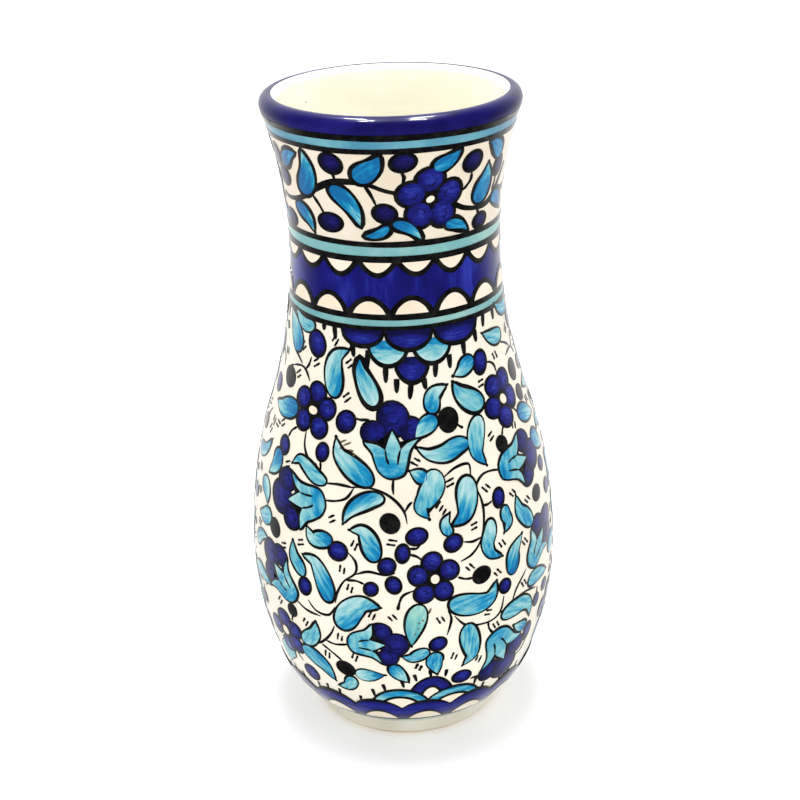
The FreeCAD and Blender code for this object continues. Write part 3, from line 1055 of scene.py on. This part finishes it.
def make_heel():
    """A row of cobalt arches round the heel, with a stack of more above it here and there."""
    heel = Region("heel", 1.0)
    cobalt, turquoise = heel.cobalt_washes, heel.leaf_washes
    for centre in HEEL_STACKS:
        shift, top = TALL_ARCH
        lift = INK_LIFT - 0.03
        arch_mark(heel, centre + shift, 11.0, top, 4.9, cobalt, (0.5, 0.0, 0.3), lift)
        for shift, top in LOW_ARCHES:
            lift = INK_LIFT + 0.12
            arch_mark(heel, centre + shift, 13.2, top, 4.0, turquoise, (0.45, 0.1, 0.3), lift)
    strip(heel.outlines, flat(ARCH_FOOT), arch_edge(0.0), INK_LIFT + 0.28, 0.05, step=1)
    low, high = flat(ARCH_FOOT + 1.2), arch_edge(1.4)
    strip(cobalt, low, high, INK_LIFT + 0.33, 0.05, (0.5, 0.0, 0.1), 1)
    span = TURN / ARCHES
    for n in range(ARCHES):
        centre = ARCH_START + span * n + rng.uniform(-0.4, 0.4)
        heel.outlines.add(dome(centre, 9.2, ARCH_FOOT + 0.4, 20.3, 0.8), INK_LIFT + 0.37)
        heel.reserves.add(dome(centre, 7.8, 14.2, 18.9, 0.9), INK_LIFT + 0.42)
    heel_ticks(heel)
    heel.finish()


def heel_ticks(heel):
    """Ticks stand along the arches' tops, and follow the stacks where those rise."""
    for centre in HEEL_STACKS:
        for shift, level, length, lean in STACK_TICKS:
            tick(heel, (centre + shift, level), length, 1.35, lean)
    span = TURN / ARCHES
    for n in range(ARCHES):
        for shift in ARCH_TICKS:
            across = ARCH_START + span * n + shift
            gaps = [(across - c + FULL) % TURN - FULL for c in HEEL_STACKS]
            if all(gap < STACK_REACH[0] or gap > STACK_REACH[1] for gap in gaps):
                level = arch_edge(0.0)(across) + 2.4
                tick(heel, (across, level), 2.9, 1.2, rng.uniform(-8, 8))


# ------------------------------------------------------------------ the neck's frieze

FRIEZE_VINES = (
    (
        (-72, 217), (-66, 216.2), (-58, 217), (-50, 219), (-40, 223.2), (-30, 226.4), (-20, 227.2),
        (-12, 226.4), (-4, 224.2), (3, 223),
    ),
    ((31, 217), (37, 214.9), (45, 213.6), (53, 213.6), (60, 216), (66, 221), (71, 226)),
)
FRIEZE_STEMS = (
    ((-28.6, 231), (-28.4, 228.5), (-27.5, 226.5)), ((-43.5, 220.5), (-40, 217.5), (-37, 214)),
    ((-14, 226.6), (-11, 223), (-8.6, 219)), ((3.5, 231), (5, 229), (4.2, 226.5)),
    ((40, 227.5), (40, 225), (38, 223), (35.5, 221.5)), ((46.5, 214), (47, 212.5), (48, 211)),
    ((58.6, 217.5), (60.5, 221), (60, 226)),
)
FRIEZE_BERRIES = (
    (-29, 233.4, 4.6, 3.8), (-34, 211.4, 4.9, 3.7), (4.6, 234.4, 4.5, 3.7), (-4.6, 215.9, 4.2, 3.6),
    (39.8, 231.5, 4.2, 4.0), (49.4, 208.4, 3.7, 3.1), (61.5, 226.4, 3.6, 3.8), (-66, 224, 4.4, 3.6),
    (-67, 208.6, 4.4, 3.4),
)
# base, tip, width, how far it bows to the left, and where its wash is deepest
FRIEZE_LEAVES = (
    ((-63, 228.8), (-50, 234.8), 4.6, 0.1, "none"),
    ((-51, 220.6), (-44.4, 236.2), 7.4, -0.16, "base"),
    ((-18.6, 229), (-5.8, 236.8), 7.0, -0.12, "none"),
    ((-31.5, 224.5), (-17, 211.4), 6.2, 0.13, "base"),
    ((-58.5, 214.8), (-45.6, 207), 4.8, 0.16, "base"),
    ((-2.8, 211.2), (-15, 207.6), 3.0, 0.12, "none"),
    ((-0.6, 212.2), (13.5, 206), 3.6, 0.12, "base"),
    ((18.8, 231.8), (31.4, 236.8), 5.0, -0.1, "none"),
    ((26.6, 209.8), (40, 206.6), 3.6, 0.14, "none"),
    ((44.2, 216), (51.6, 228.6), 7.4, -0.14, "base"),
    ((61, 229.8), (50, 236.8), 5.0, -0.12, "none"),
    ((59, 215), (73, 209.4), 5.0, 0.14, "none"),
)
# the eye's place and the petals' places
FRIEZE_FLOWER = (
    (17.8, 220.3), ((17.4, 227.3), (27.6, 221.6), (24.3, 214.6), (12.6, 215), (8.6, 222.6)),
)
# how far round each repeat lies, and the part of the plan it keeps
FRIEZE_REPEATS = ((0.0, -90.0, 90.0), (140.0, -52.0, 42.0), (-110.0, -64.0, 44.0))


def moved(point, shift):
    return point[0] + shift, point[1]


def shifted(points, shift):
    return tuple(moved(p, shift) for p in points)


def make_frieze():
    """A vine round the neck, with berries, leaves and a big five-petalled flower."""
    neck = Region("neck", 1.35, 0.82)
    for shift, first, last in FRIEZE_REPEATS:
        for vine in FRIEZE_VINES:
            line = [moved(p, shift) for p in vine if p[0] <= last]
            brush_line(neck, line, 2.1, lift=INK_LIFT - 0.05, blunt=0.8)
        for stem in FRIEZE_STEMS:
            if first < stem[0][0] < last:
                brush_line(neck, [moved(p, shift) for p in stem], 1.25, lift=STEM_LIFT)
        for across, up, wide, tall in FRIEZE_BERRIES:
            if first < across < last:
                berry(neck, (across + shift, up), wide * 1.12, tall * 1.08, night=True)
        for base, tip, width, bend, dark in FRIEZE_LEAVES:
            if first < base[0] < last:
                leaf(neck, bent(moved(base, shift), moved(tip, shift), bend), width, dark)
        centre, petals = FRIEZE_FLOWER
        rosette(neck, moved(centre, shift), shifted(petals, shift), 4.9, 1.4)
    neck.finish()


# ------------------------------------------------------------------ the belly's plan

# the spine from base to tip, the width, where it's darkest, and how thick its line is
LEAVES = (
    (((-31, 148.2), (-32.4, 153.5), (-33, 158.8), (-31, 163), (-25.2, 165.6)), 7.0, "right", 1.0),
    (((-11.2, 147), (-13.4, 150.6), (-16.4, 155.2), (-18.6, 159), (-19, 162.8)), 6.2, "tip", 1.7),
    (((-11.6, 119.8), (-15.8, 122.4), (-21.6, 125.8), (-26, 129), (-28, 133.8)), 7.2, "base", 1.1),
    (((-30.8, 118), (-35.6, 119), (-41, 122), (-45, 123.2), (-48.5, 121)), 4.8, "none", 1.0),
    (((-52, 139.8), (-58, 138.6), (-65, 137), (-71, 137.5)), 7.0, "base", 0.9),
    (((-47, 171.8), (-53, 170.6), (-59, 171.8), (-64, 174.4)), 4.6, "none", 0.9),
    (((-58.8, 159.6), (-61, 164), (-65, 168.5), (-70, 173)), 7.6, "base", 0.8),
    (((15.6, 143.6), (14.6, 146.8), (16, 150.2), (21.8, 152.2)), 5.4, "base", 0.9),
    (((16.2, 141), (11.6, 139.8), (6.2, 135.8)), 5.8, "base", 0.9),
    (((40.4, 142.6), (36, 144.2), (31.6, 146.4), (28.4, 149), (26.2, 152.4)), 7.2, "none", 1.3),
    (((38.6, 159.6), (35, 158.2), (31.5, 156.2), (27.2, 155.2)), 5.4, "base", 0.9),
    (((29, 130.8), (24, 131), (17.6, 129), (11.4, 129.4), (6.8, 132)), 5.8, "base", 1.0),
    (((36.8, 138.8), (34.6, 135.2), (32.6, 131), (32.2, 126.4), (35.3, 122)), 6.8, "tip", 0.7),
    (((64, 163.4), (58, 163.2), (53, 164.2), (48, 166.4)), 5.4, "none", 0.9),
    (((-7.2, 114.6), (-12, 114.2), (-17, 111.6), (-20.4, 108.4), (-22.3, 104.8)), 5.2, "right", 1.1),
    (((11.6, 124), (12.2, 119), (9.4, 114.6), (6.8, 111), (9.2, 107.2)), 8.0, "tip", 0.8),
    (((9.4, 120.6), (7, 122.4), (3.4, 124.2)), 4.4, "base", 0.8),
    (((25.6, 119.6), (25.2, 114), (24.6, 109.4), (22.8, 105.6), (18.4, 103.2)), 7.8, "tip", 1.0),
    (((17.4, 100), (15.8, 102), (15.4, 104.6), (17, 107.2)), 3.6, "base", 0.8),
    (((41.2, 104.2), (41.2, 100.8), (42.2, 97.6), (40, 94.8)), 4.3, "none", 0.8),
    (((33.8, 101.4), (33.2, 97), (31.6, 92.4), (33, 88.2), (37.2, 85.9)), 5.4, "tip", 0.9),
    (((56, 91.4), (52.6, 95.4), (48.9, 99.6), (48, 105.2)), 6.0, "none", 0.9),
    (((-27, 97.2), (-31, 96.4), (-35.2, 95.8), (-37.9, 99.4)), 5.6, "base", 1.0),
    (((-10.4, 91.2), (-11.4, 95), (-13, 99.6), (-15.4, 102.3), (-19.4, 102.2)), 6.3, "base", 1.1),
    (((-39.2, 79.4), (-41.2, 82.4), (-44, 86), (-44.7, 91.4)), 5.0, "none", 1.0),
    (((-28.4, 71.8), (-29.4, 77), (-31.4, 82.5), (-34.2, 86.8), (-39, 87.8)), 6.8, "base", 1.0),
    (((-23.8, 61.2), (-22.2, 65.4), (-19.6, 70), (-15.4, 73.2), (-9.6, 72.4)), 9.2, "right", 1.0),
    (((15.8, 72.8), (20.5, 70.8), (27, 69.4), (31.8, 70.6), (34.4, 75.8)), 8.4, "none", 1.0),
    (((42.2, 76.2), (42.8, 80.6), (43.8, 85.2), (48.4, 89.9)), 6.0, "base", 0.9),
    (((-42.8, 48.8), (-38.8, 51.8), (-35.8, 55.4), (-35, 60.2)), 6.2, "none", 1.0),
    (((-44.2, 44.8), (-39.2, 43), (-34.2, 39.6), (-30.8, 33.6)), 7.2, "none", 1.0),
    (((-20.4, 39.8), (-15.4, 39.8), (-9.4, 40.6)), 5.6, "tip", 0.6),
    (((-22.4, 37.4), (-23.2, 34.2), (-25.2, 31.8), (-28.9, 30.8)), 4.8, "none", 0.9),
    (((-5.6, 46), (-4, 42.4), (-0.2, 37.6)), 5.2, "base", 1.0),
    (((7.8, 52.6), (4.4, 50.9), (1.6, 49.6), (-1.6, 50.4)), 4.6, "none", 0.9),
    (((11.8, 50.6), (10, 47.4), (10.6, 44.2), (11.2, 40.8)), 5.8, "none", 0.8),
    (((22.6, 61.6), (23.2, 56), (24.6, 50.2), (24.8, 46.2), (21.8, 42.6)), 7.2, "none", 1.0),
    (((37.4, 59.4), (43, 60.4), (49, 60.4), (52.8, 57.4), (53.9, 52.4)), 6.9, "none", 1.0),
    (((52.6, 48.6), (48.8, 49.4), (44.6, 52)), 4.4, "base", 0.9),
    (((51.6, 67.4), (57, 68.4), (66, 66.4)), 5.8, "none", 0.9),
    (((-59, 122.8), (-59.4, 117), (-64, 112.2)), 6.0, "base", 0.9),
    (((-59.5, 97), (-64, 94), (-69, 93.6)), 6.6, "none", 0.9),
    (((62, 132.4), (68, 131), (77.5, 128)), 6.2, "base", 0.9),
    (((-52.6, 41), (-56.4, 37), (-59, 30.6)), 8.4, "none", 0.6),
    (((68, 122), (72, 119), (78, 114)), 6.4, "base", 0.9),
)
SEA_LEAF = ((5.2, 73.2), (3.6, 67.5), (2.3, 62), (1.7, 56)), 7.2, "tip"

# across, up, half width and half height
BERRIES = (
    (-44.4, 165.4, 4.7, 5.3), (-24.4, 140.3, 4.1, 4.3), (-34, 128.2, 3.2, 3.6),
    (-56, 125.2, 3.6, 3.8), (43, 157, 3.8, 4.9), (-24.5, 93.2, 4.1, 4.3), (4.7, 100.5, 4.3, 3.7),
    (18, 96.3, 3.9, 3.8), (38.8, 108.2, 3.3, 4.0), (-38.8, 75, 3.5, 4.1), (-12.2, 79.8, 3.2, 3.1),
    (38.6, 72.6, 3.2, 3.6), (11.3, 55.2, 3.7, 3.6), (54.7, 43.9, 3.4, 4.6), (58.2, 56.8, 2.9, 3.2),
    (-43.4, 31.8, 4.4, 4.1), (21.6, 36.2, 4.2, 3.7), (-6.3, 89.3, 3.7, 3.6), (-0.6, 94.3, 3.1, 4.0),
    (-4.1, 81.8, 3.3, 3.9),
)
BLACK_BERRIES = (
    (21.3, 140.3, 4.3, 4.4), (45.7, 126.3, 3.1, 3.3), (-4.9, 105.7, 3.8, 4.0),
    (-55.8, 92.7, 3.8, 3.9), (28.4, 81, 4.3, 3.5), (62, 101, 3.4, 3.6), (-24.4, 41.5, 4.1, 3.8),
    (-46.3, 61.4, 2.9, 2.9), (-63, 149, 4.0, 4.2), (69, 147.5, 3.8, 4.2),
)
# the eye's place, the petals' places, the petals' half width and the eye's
ROSETTES = (
    (
        (-42.1, 141.5),
        ((-49.4, 144.7), (-40.8, 148.1), (-34.6, 143.2), (-37.6, 136.2), (-47.2, 137)),
        3.75, 1.8,
    ),
    (
        (53.6, 140.8),
        ((48.8, 146.6), (56.9, 147), (59.4, 140), (52.6, 134.5), (46.2, 139.4)),
        4.0, 1.9,
    ),
    (
        (10.6, 83.4),
        ((9.7, 90.2), (15.8, 86.2), (13.5, 78.2), (6.6, 77.8), (4.6, 85.2)),
        3.75, 1.8,
    ),
    (
        (-53, 48.9),
        ((-52.9, 54.8), (-47.3, 51.4), (-47.8, 44.4), (-53.8, 41.4), (-59.4, 48.6)),
        3.9, 2.0,
    ),
)
# base, towards the flower, scale, squash
TULIPS = (
    ((-3.2, 122.2), (-3.3, 140), 0.98, 0.96), ((-30.8, 111.2), (-54, 106), 1.08, 0.9),
    ((41.6, 117.8), (64, 116), 1.0, 0.9), ((-44.0, 67.2), (-58, 80), 0.98, 0.92),
    ((53.2, 74.2), (67, 88), 0.95, 0.9), ((-21.6, 54.6), (-4, 56), 0.86, 0.98),
    ((34.2, 53.4), (43, 33.5), 1.08, 0.94),
)
STEMS = (
    ((-3.2, 122.6), (-3.6, 119), (-3.4, 116.2)),
    ((-20, 117.9), (-14, 118.4), (-8, 117.2), (-3, 114.2), (0.4, 110), (1.4, 105.4)),
    ((0.8, 110), (2.2, 112.2), (3.6, 113.4)),
    ((-30.6, 111.4), (-26, 112), (-21.6, 113.8), (-18.8, 117.8)),
    ((-31, 117.6), (-25, 118.2), (-19, 117.8)),
    ((-44.2, 134), (-43.6, 128.4), (-40.4, 124.4), (-35.8, 123.4)),
    ((-50, 133.6), (-53, 131.6), (-54.6, 128.8)), ((-34.4, 124.8), (-34, 121.8), (-36, 119.4)),
    ((-20, 142), (-17.4, 141.6), (-13.6, 142)),
    ((-20.4, 93.4), (-17.6, 90), (-17.8, 85.6), (-22, 81.8), (-24.6, 77), (-25.8, 71.8)),
    ((-18, 85), (-13, 86.8), (-7, 85.8), (-3.4, 86.8)),
    ((-21.4, 82.2), (-17.6, 82.6), (-14.6, 81.6)),
    ((3.4, 79.6), (-0.8, 77.6), (-2.4, 74), (-3, 71.6)), ((1.6, 94), (4.6, 92.8), (6.6, 90.8)),
    ((19, 82.6), (21.8, 81.2), (25, 80.8)),
    ((20.4, 88.6), (25, 90.4), (28.8, 94.6), (30.8, 101), (31.2, 108), (29.4, 114.6)),
    ((22, 95.9), (25.6, 95.2), (29.4, 96)), ((31, 107.4), (33.6, 107.4), (35.4, 108)),
    ((29.4, 114.6), (30.6, 117), (33.6, 118.8), (38, 118.8), (42, 117.8)),
    ((27.6, 119.4), (27.4, 123.8), (21.6, 123.6), (15.8, 120.6)),
    ((50.4, 132.8), (48.2, 131), (47, 129)), ((53.4, 150.6), (52.6, 153.6), (50, 155.4), (47, 156)),
    ((-61, 154), (-54.5, 155.2), (-50.4, 154.2), (-46.8, 151)),
    ((-47.6, 159.8), (-48.8, 156.8), (-51, 154.6)), ((-64, 160), (-58.6, 158.2), (-54, 156)),
    ((-43.6, 67.4), (-38.6, 64.8), (-32.2, 64.2)),
    ((-37.6, 69.6), (-34, 66), (-28.8, 65.8), (-26, 70)),
    ((-26.8, 61.4), (-28.8, 57), (-33.4, 51.8), (-40.4, 48)),
    ((-31, 53.4), (-27, 52.8), (-21.6, 54.2)), ((-33.4, 51), (-29, 48.2), (-25, 44.8)),
    ((-46.8, 47), (-49, 41), (-46.6, 36.4)), ((15, 69.6), (16.2, 65.4), (14.6, 58.6)),
    ((17.4, 66.6), (21.4, 61.8), (27, 60), (33, 60), (36.6, 62.6), (38, 68.6)),
    ((31, 60), (31.6, 56.6), (33.8, 53.2)), ((36.6, 61.6), (42, 64.2), (49.4, 65), (57, 63.2)),
    ((42.4, 64.4), (44.6, 69), (50.2, 74.6)), ((25.8, 33.4), (28.4, 33.6), (31.4, 33.2)),
    ((49, 34.4), (53.4, 35.2), (55.6, 39)), ((-47.6, 56), (-47, 57.6), (-46.6, 59)),
    ((5.6, 97.4), (4.4, 96), (1.8, 96.2)), ((24.8, 138.4), (26.4, 137.2), (27.8, 136.4)),
    ((58.4, 62.6), (58.4, 60.8), (58.2, 59.6)), ((62, 133), (60, 135), (58, 136.6)),
    ((-64, 145), (-66, 151), (-61, 154)),
)
# across, up, lean, count
HATCHES = (
    (-54.6, 162.4, 50, 2), (-44, 158.4, 35, 2), (-56, 151.6, 40, 2), (-24.6, 160.6, 40, 2),
    (-25, 148.6, 40, 2), (54.6, 157, -70, 2), (41, 149.6, 10, 2), (56.2, 130, 75, 2),
    (5.4, 127.6, -30, 2), (-52, 119.2, 25, 2), (-27.4, 105, 32, 2), (-4.6, 98.6, -8, 2),
    (-18.2, 96.4, 66, 2), (-41, 92.4, 20, 2), (-50, 87.8, 15, 2), (-22.8, 86, 82, 2),
    (-20, 78.8, 74, 2), (14, 109.6, 52, 3), (18.4, 118.6, 18, 2), (26.4, 100.8, 14, 2),
    (33.6, 113.6, -48, 2), (46.2, 107.6, -50, 2), (54.4, 101.8, -48, 2), (23.6, 85.6, -50, 2),
    (38, 90.6, -60, 2), (35, 79.8, -50, 2), (50, 86.4, -55, 2), (12.2, 66.2, -62, 2),
    (-25, 56.4, 78, 2), (-20, 48, 70, 2), (-31.6, 46.2, 78, 2), (-12.2, 68.6, 66, 2),
    (-5, 68.4, -50, 2), (30.6, 64.2, -12, 2), (34.6, 57.2, -62, 2), (17.6, 47.6, 72, 2),
    (28, 43, 72, 2), (-53.6, 62.4, 55, 2), (-40, 58.6, 60, 2), (48.6, 69.4, -60, 2),
    (40.4, 130.4, 30, 2), (-33, 168, 60, 2), (-61, 132, 40, 2),
)
# place, lean, count, length and width of the two that are drawn heavier
HEAVY_HATCHES = (((4.0, 44.6), 68, 2, 2.6, 1.1), ((-2.6, 73.0), 78, 1, 3.4, 1.2))
# across and length
STRIPE_TICKS = ((-40.2, 2.4), (-33.6, 4.8), (49.6, 4.6), (58.4, 4.0), (66.4, 4.0))
# where the glaze smeared, and which way, and where iron spotted the sea-green leaf
SMEARS = (
    ((-25.0, 133.4), 20), ((-22.8, 132.8), 32), ((-21.2, 130.6), 8), ((-23.6, 130.0), 24),
    ((8.4, 70.4), 75),
)
SPECKS = ((4.5, 65.6), (4.2, 63.2), (5.9, 66.7), (3.0, 60.8), (-19.6, 129.2), (-25.6, 131.0))
PENDANT_CENTRE = 6.5
COPIES = (0.0, 126.0, -126.0)  # how far round each copy of the plan lies


class Room:
    """Remembers where paint lies, as circles on the skin, so that marks don't collide."""

    def __init__(self):
        self.taken = []

    def is_free(self, circles):
        for across, up, size in circles:
            ring = radius_at(up)
            for other, level, reach in self.taken:
                gap = size + reach
                if abs(up - level) < gap:
                    side = math.radians((across - other + FULL) % TURN - FULL) * ring
                    if side * side + (up - level) ** 2 < gap * gap:
                        return False
        return True

    def take(self, circles):
        self.taken.extend(circles)


def circles_on(points, sizes):
    return [(point[0], point[1], size) for point, size in zip(points, sizes)]


def leaf_room(spine, width):
    sizes = [width * 0.42] + [width * 0.5] * (len(spine) - 2) + [width * 0.15]
    return circles_on(spine, sizes)


def belly_marks(shift):
    """Every mark of the belly's plan, moved round by an angle: the function that paints it,
    what it's painted with, and the room it needs."""
    for stem in STEMS:
        line = shifted(stem, shift)
        yield brush_line, (line, 0.95), circles_on(line, [0.7] * len(line))
    for spine, width, dark, thick in (*LEAVES, (*SEA_LEAF, 0.9)):
        line, sea = shifted(spine, shift), spine is SEA_LEAF[0]
        yield leaf, (line, width, dark, thick, sea), leaf_room(line, width)
    for across, up, wide, tall in BERRIES:
        spot = (across + shift, up)
        yield berry, (spot, wide, tall), [(*spot, max(wide, tall) + 0.5)]
    for across, up, wide, tall in BLACK_BERRIES:
        spot = (across + shift, up)
        yield black_berry, (spot, wide, tall), [(*spot, tall + 0.3)]
    for centre, petals, size, eye in ROSETTES:
        middle, spots = moved(centre, shift), shifted(petals, shift)
        yield rosette, (middle, spots, size, eye), circles_on(spots, [size + 0.5] * len(spots))
    for base, toward, scale, squash in TULIPS:
        foot, aim = moved(base, shift), moved(toward, shift)
        yield tulip, (foot, aim, scale, squash), tulip_room(foot, aim)
    for across, up, lean, count in HATCHES:
        spot = (across + shift, up)
        yield hatch, (spot, lean, count), [(*spot, 1.6)]


def tulip_room(foot, aim):
    """The room that a tulip keeps clear: one circle for its cup and one for its lobes."""
    reach = local_point(foot, aim)
    length = math.hypot(*reach)
    spots = [skin_point(foot, (reach[0] / length * k, reach[1] / length * k)) for k in (7.0, 17.0)]
    return circles_on(spots, (7.5, 8.0))


def pendant_room(centre):
    """The room that a pendant and its fringe of ticks keep clear."""
    spots = (
        (0.0, 157.0, 8.0), (-13.0, 164.0, 8.5), (13.0, 164.0, 8.5),
        (-27.0, 169.0, 6.5), (29.0, 169.0, 6.5),
    )
    return [(centre + across, up, size) for across, up, size in spots]


def stack_room(centre):
    """The room that a stack of arches on the heel keeps clear."""
    return [(centre - 7.0, 27.0, 9.5), (centre + 9.4, 32.0, 11.0), (centre + 24.0, 26.0, 9.5)]


PLAN_EDGE = 64.0  # how far round the front plan fills the ground by itself
LEAF_TRIES, BERRY_TRIES, HATCH_TRIES = 3500, 1800, 1800


def somewhere_behind(low):
    """A place on the belly's far side, which the plan leaves partly bare."""
    return rng.uniform(PLAN_EDGE, TURN - PLAN_EDGE), rng.uniform(low, 168.0)


def fill_gaps(belly, room):
    """Leaves, berries and hatching wherever bare ground is left behind."""
    for _ in range(LEAF_TRIES):
        across, up = somewhere_behind(36.0)
        turn = rng.uniform(0.0, math.tau)
        length, width = rng.uniform(9.0, 15.0), rng.uniform(4.6, 6.6)
        bow = rng.choice((-1, 1)) * rng.uniform(0.1, 0.22)
        tip = skin_point((across, up), (length * math.cos(turn), length * math.sin(turn)))
        spine = bent((across, up), tip, bow)
        if 34.0 < tip[1] < 170.0 and room.is_free(leaf_room(spine, width + 1.0)):
            leaf(belly, spine, width, rng.choice(("base", "tip", "left", "right")), 0.95)
            room.take(leaf_room(spine, width + 1.0))
    for _ in range(BERRY_TRIES):
        spot, size = somewhere_behind(36.0), rng.uniform(2.9, 3.8)
        if room.is_free([(*spot, size + 1.0)]):
            paint = black_berry if rng.random() < 0.25 else berry
            paint(belly, spot, size, size * 1.05)
            room.take([(*spot, size + 1.0)])
    for _ in range(HATCH_TRIES):
        spot = somewhere_behind(34.0)
        if room.is_free([(*spot, 2.3)]):
            hatch(belly, spot, rng.uniform(-80, 80), 2)
            room.take([(*spot, 2.3)])


def make_belly():
    """The belly's plan facing the viewer, then again each side of the back where it fits."""
    belly = Region("belly", 0.95)
    room = Room()
    for shift in COPIES:
        make_pendant(belly, PENDANT_CENTRE + shift)
        room.take(pendant_room(PENDANT_CENTRE + shift))
    for centre in HEEL_STACKS:
        room.take(stack_room(centre))
    for shift in COPIES:
        kept = []
        for paint, details, circles in belly_marks(shift):
            if shift == 0.0 or room.is_free(circles):
                paint(belly, *details)
                kept.extend(circles)
        room.take(kept)
        for across, length in STRIPE_TICKS:
            tick(belly, (across + shift, 173.4), length, 1.9, rng.uniform(-8, 8))
    for strokes in HEAVY_HATCHES:
        hatch(belly, *strokes)
    for spot, turn in SMEARS:
        outline = round_outline(1.5, 0.4, math.radians(turn), 14, 0.25)
        lay(belly.smudges, spot, outline, STEM_LIFT)
    for spot in SPECKS:
        lay(belly.smudges, spot, round_outline(0.42, 0.36, count=10), MARK_LIFT)
    fill_gaps(belly, room)
    belly.finish()


# ------------------------------------------------------------------ the studio


def make_floor():
    """A plain pale floor that the foot stands on."""
    bm = bmesh.new()
    bmesh.ops.create_grid(bm, x_segments=1, y_segments=1, size=6.0)
    mesh = bpy.data.meshes.new("studio_floor")
    bm.to_mesh(mesh)
    bm.free()
    recipe = Recipe("studio_paper", 0.9, 0.0)
    recipe.shader.inputs["Base Color"].default_value = (0.95, 0.95, 0.95, 1.0)
    recipe.shader.inputs["Emission Color"].default_value = (1.0, 1.0, 1.0, 1.0)
    recipe.shader.inputs["Emission Strength"].default_value = 0.2
    mesh.materials.append(recipe.material)
    floor = bpy.data.objects.new("studio_floor", mesh)
    floor.visible_glossy = False
    bpy.context.scene.collection.objects.link(floor)


def make_light(name, place, aim, wide, tall, watts):
    data = bpy.data.lights.new(name, "AREA")
    data.shape, data.size, data.size_y, data.energy = "RECTANGLE", wide, tall, watts
    light = bpy.data.objects.new(name, data)
    light.location = place
    light.rotation_euler = (Vector(aim) - Vector(place)).to_track_quat("-Z", "Y").to_euler()
    bpy.context.scene.collection.objects.link(light)
    return light


def make_room():
    """A white room. What the glaze mirrors of it is dark in front and light behind."""
    world = bpy.data.worlds.new("white_room")
    world.use_nodes = True
    tree = world.node_tree
    back = tree.nodes["Background"]
    way = tree.nodes.new("ShaderNodeTexCoord")
    split = tree.nodes.new("ShaderNodeSeparateXYZ")
    ramp = tree.nodes.new("ShaderNodeMapRange")
    ramp.interpolation_type = "SMOOTHSTEP"
    limits = (("From Min", -0.1), ("From Max", 0.95), ("To Min", 0.06), ("To Max", 1.0))
    for socket, value in limits:
        ramp.inputs[socket].default_value = value
    path = tree.nodes.new("ShaderNodeLightPath")
    choose = tree.nodes.new("ShaderNodeMix")
    choose.inputs["B"].default_value = 1.0
    seen = tree.nodes.new("ShaderNodeMath")
    seen.operation = "SUBTRACT"
    seen.inputs[0].default_value = 1.0
    tree.links.new(way.outputs["Generated"], split.inputs["Vector"])
    tree.links.new(split.outputs["Y"], ramp.inputs["Value"])
    tree.links.new(ramp.outputs["Result"], choose.inputs["A"])
    tree.links.new(path.outputs["Is Glossy Ray"], seen.inputs[1])
    tree.links.new(seen.outputs["Value"], choose.inputs["Factor"])
    tree.links.new(choose.outputs["Result"], back.inputs["Strength"])
    back.inputs["Color"].default_value = (1.0, 1.0, 1.0, 1.0)
    bpy.context.scene.world = world


def make_studio():
    """The room, a soft light overhead, and two pairs of narrow glints for the lip."""
    make_floor()
    make_room()
    for name, across, back in (
        ("left_front", -0.21, -0.13),
        ("left_back", -0.21, 0.31),
        ("right_front", 0.245, -0.13),
        ("right_back", 0.18, 0.31),
    ):
        glint = make_light(f"{name}_glint", (across, back, 1.2), (0, 0, 0.2), 0.028, 0.2, 7.0)
        glint.visible_diffuse = False
    soft = make_light("overhead_light", (0.0, 0.09, 1.2), (0, 0, 0.2), 0.5, 0.5, 8.0)
    soft.visible_glossy = False
    bpy.context.scene.view_settings.view_transform = "Standard"


def make_camera():
    """Looks down on the vase from in front, a little tilted."""
    data = bpy.data.cameras.new("view")
    data.lens, data.sensor_width = 67.5, 36.0
    camera = bpy.data.objects.new("view", data)
    forward = Vector((0.00025, 0.91192, -0.41038))
    level_right = forward.cross(Vector((0, 0, 1))).normalized()
    roll = math.radians(-1.72)
    up = level_right.cross(forward)
    right = level_right * math.cos(roll) + up * math.sin(roll)
    up = right.cross(forward)
    place = Vector((0.0, -0.52812, 0.36655))
    camera.matrix_world = Matrix((
        (right.x, up.x, -forward.x, place.x), (right.y, up.y, -forward.y, place.y),
        (right.z, up.z, -forward.z, place.z), (0, 0, 0, 1),
    ))
    bpy.context.scene.collection.objects.link(camera)
    bpy.context.scene.camera = camera


make_coats()
make_band_lines()
make_wave_band()
make_heel()
make_frieze()
make_belly()
make_studio()
make_camera()
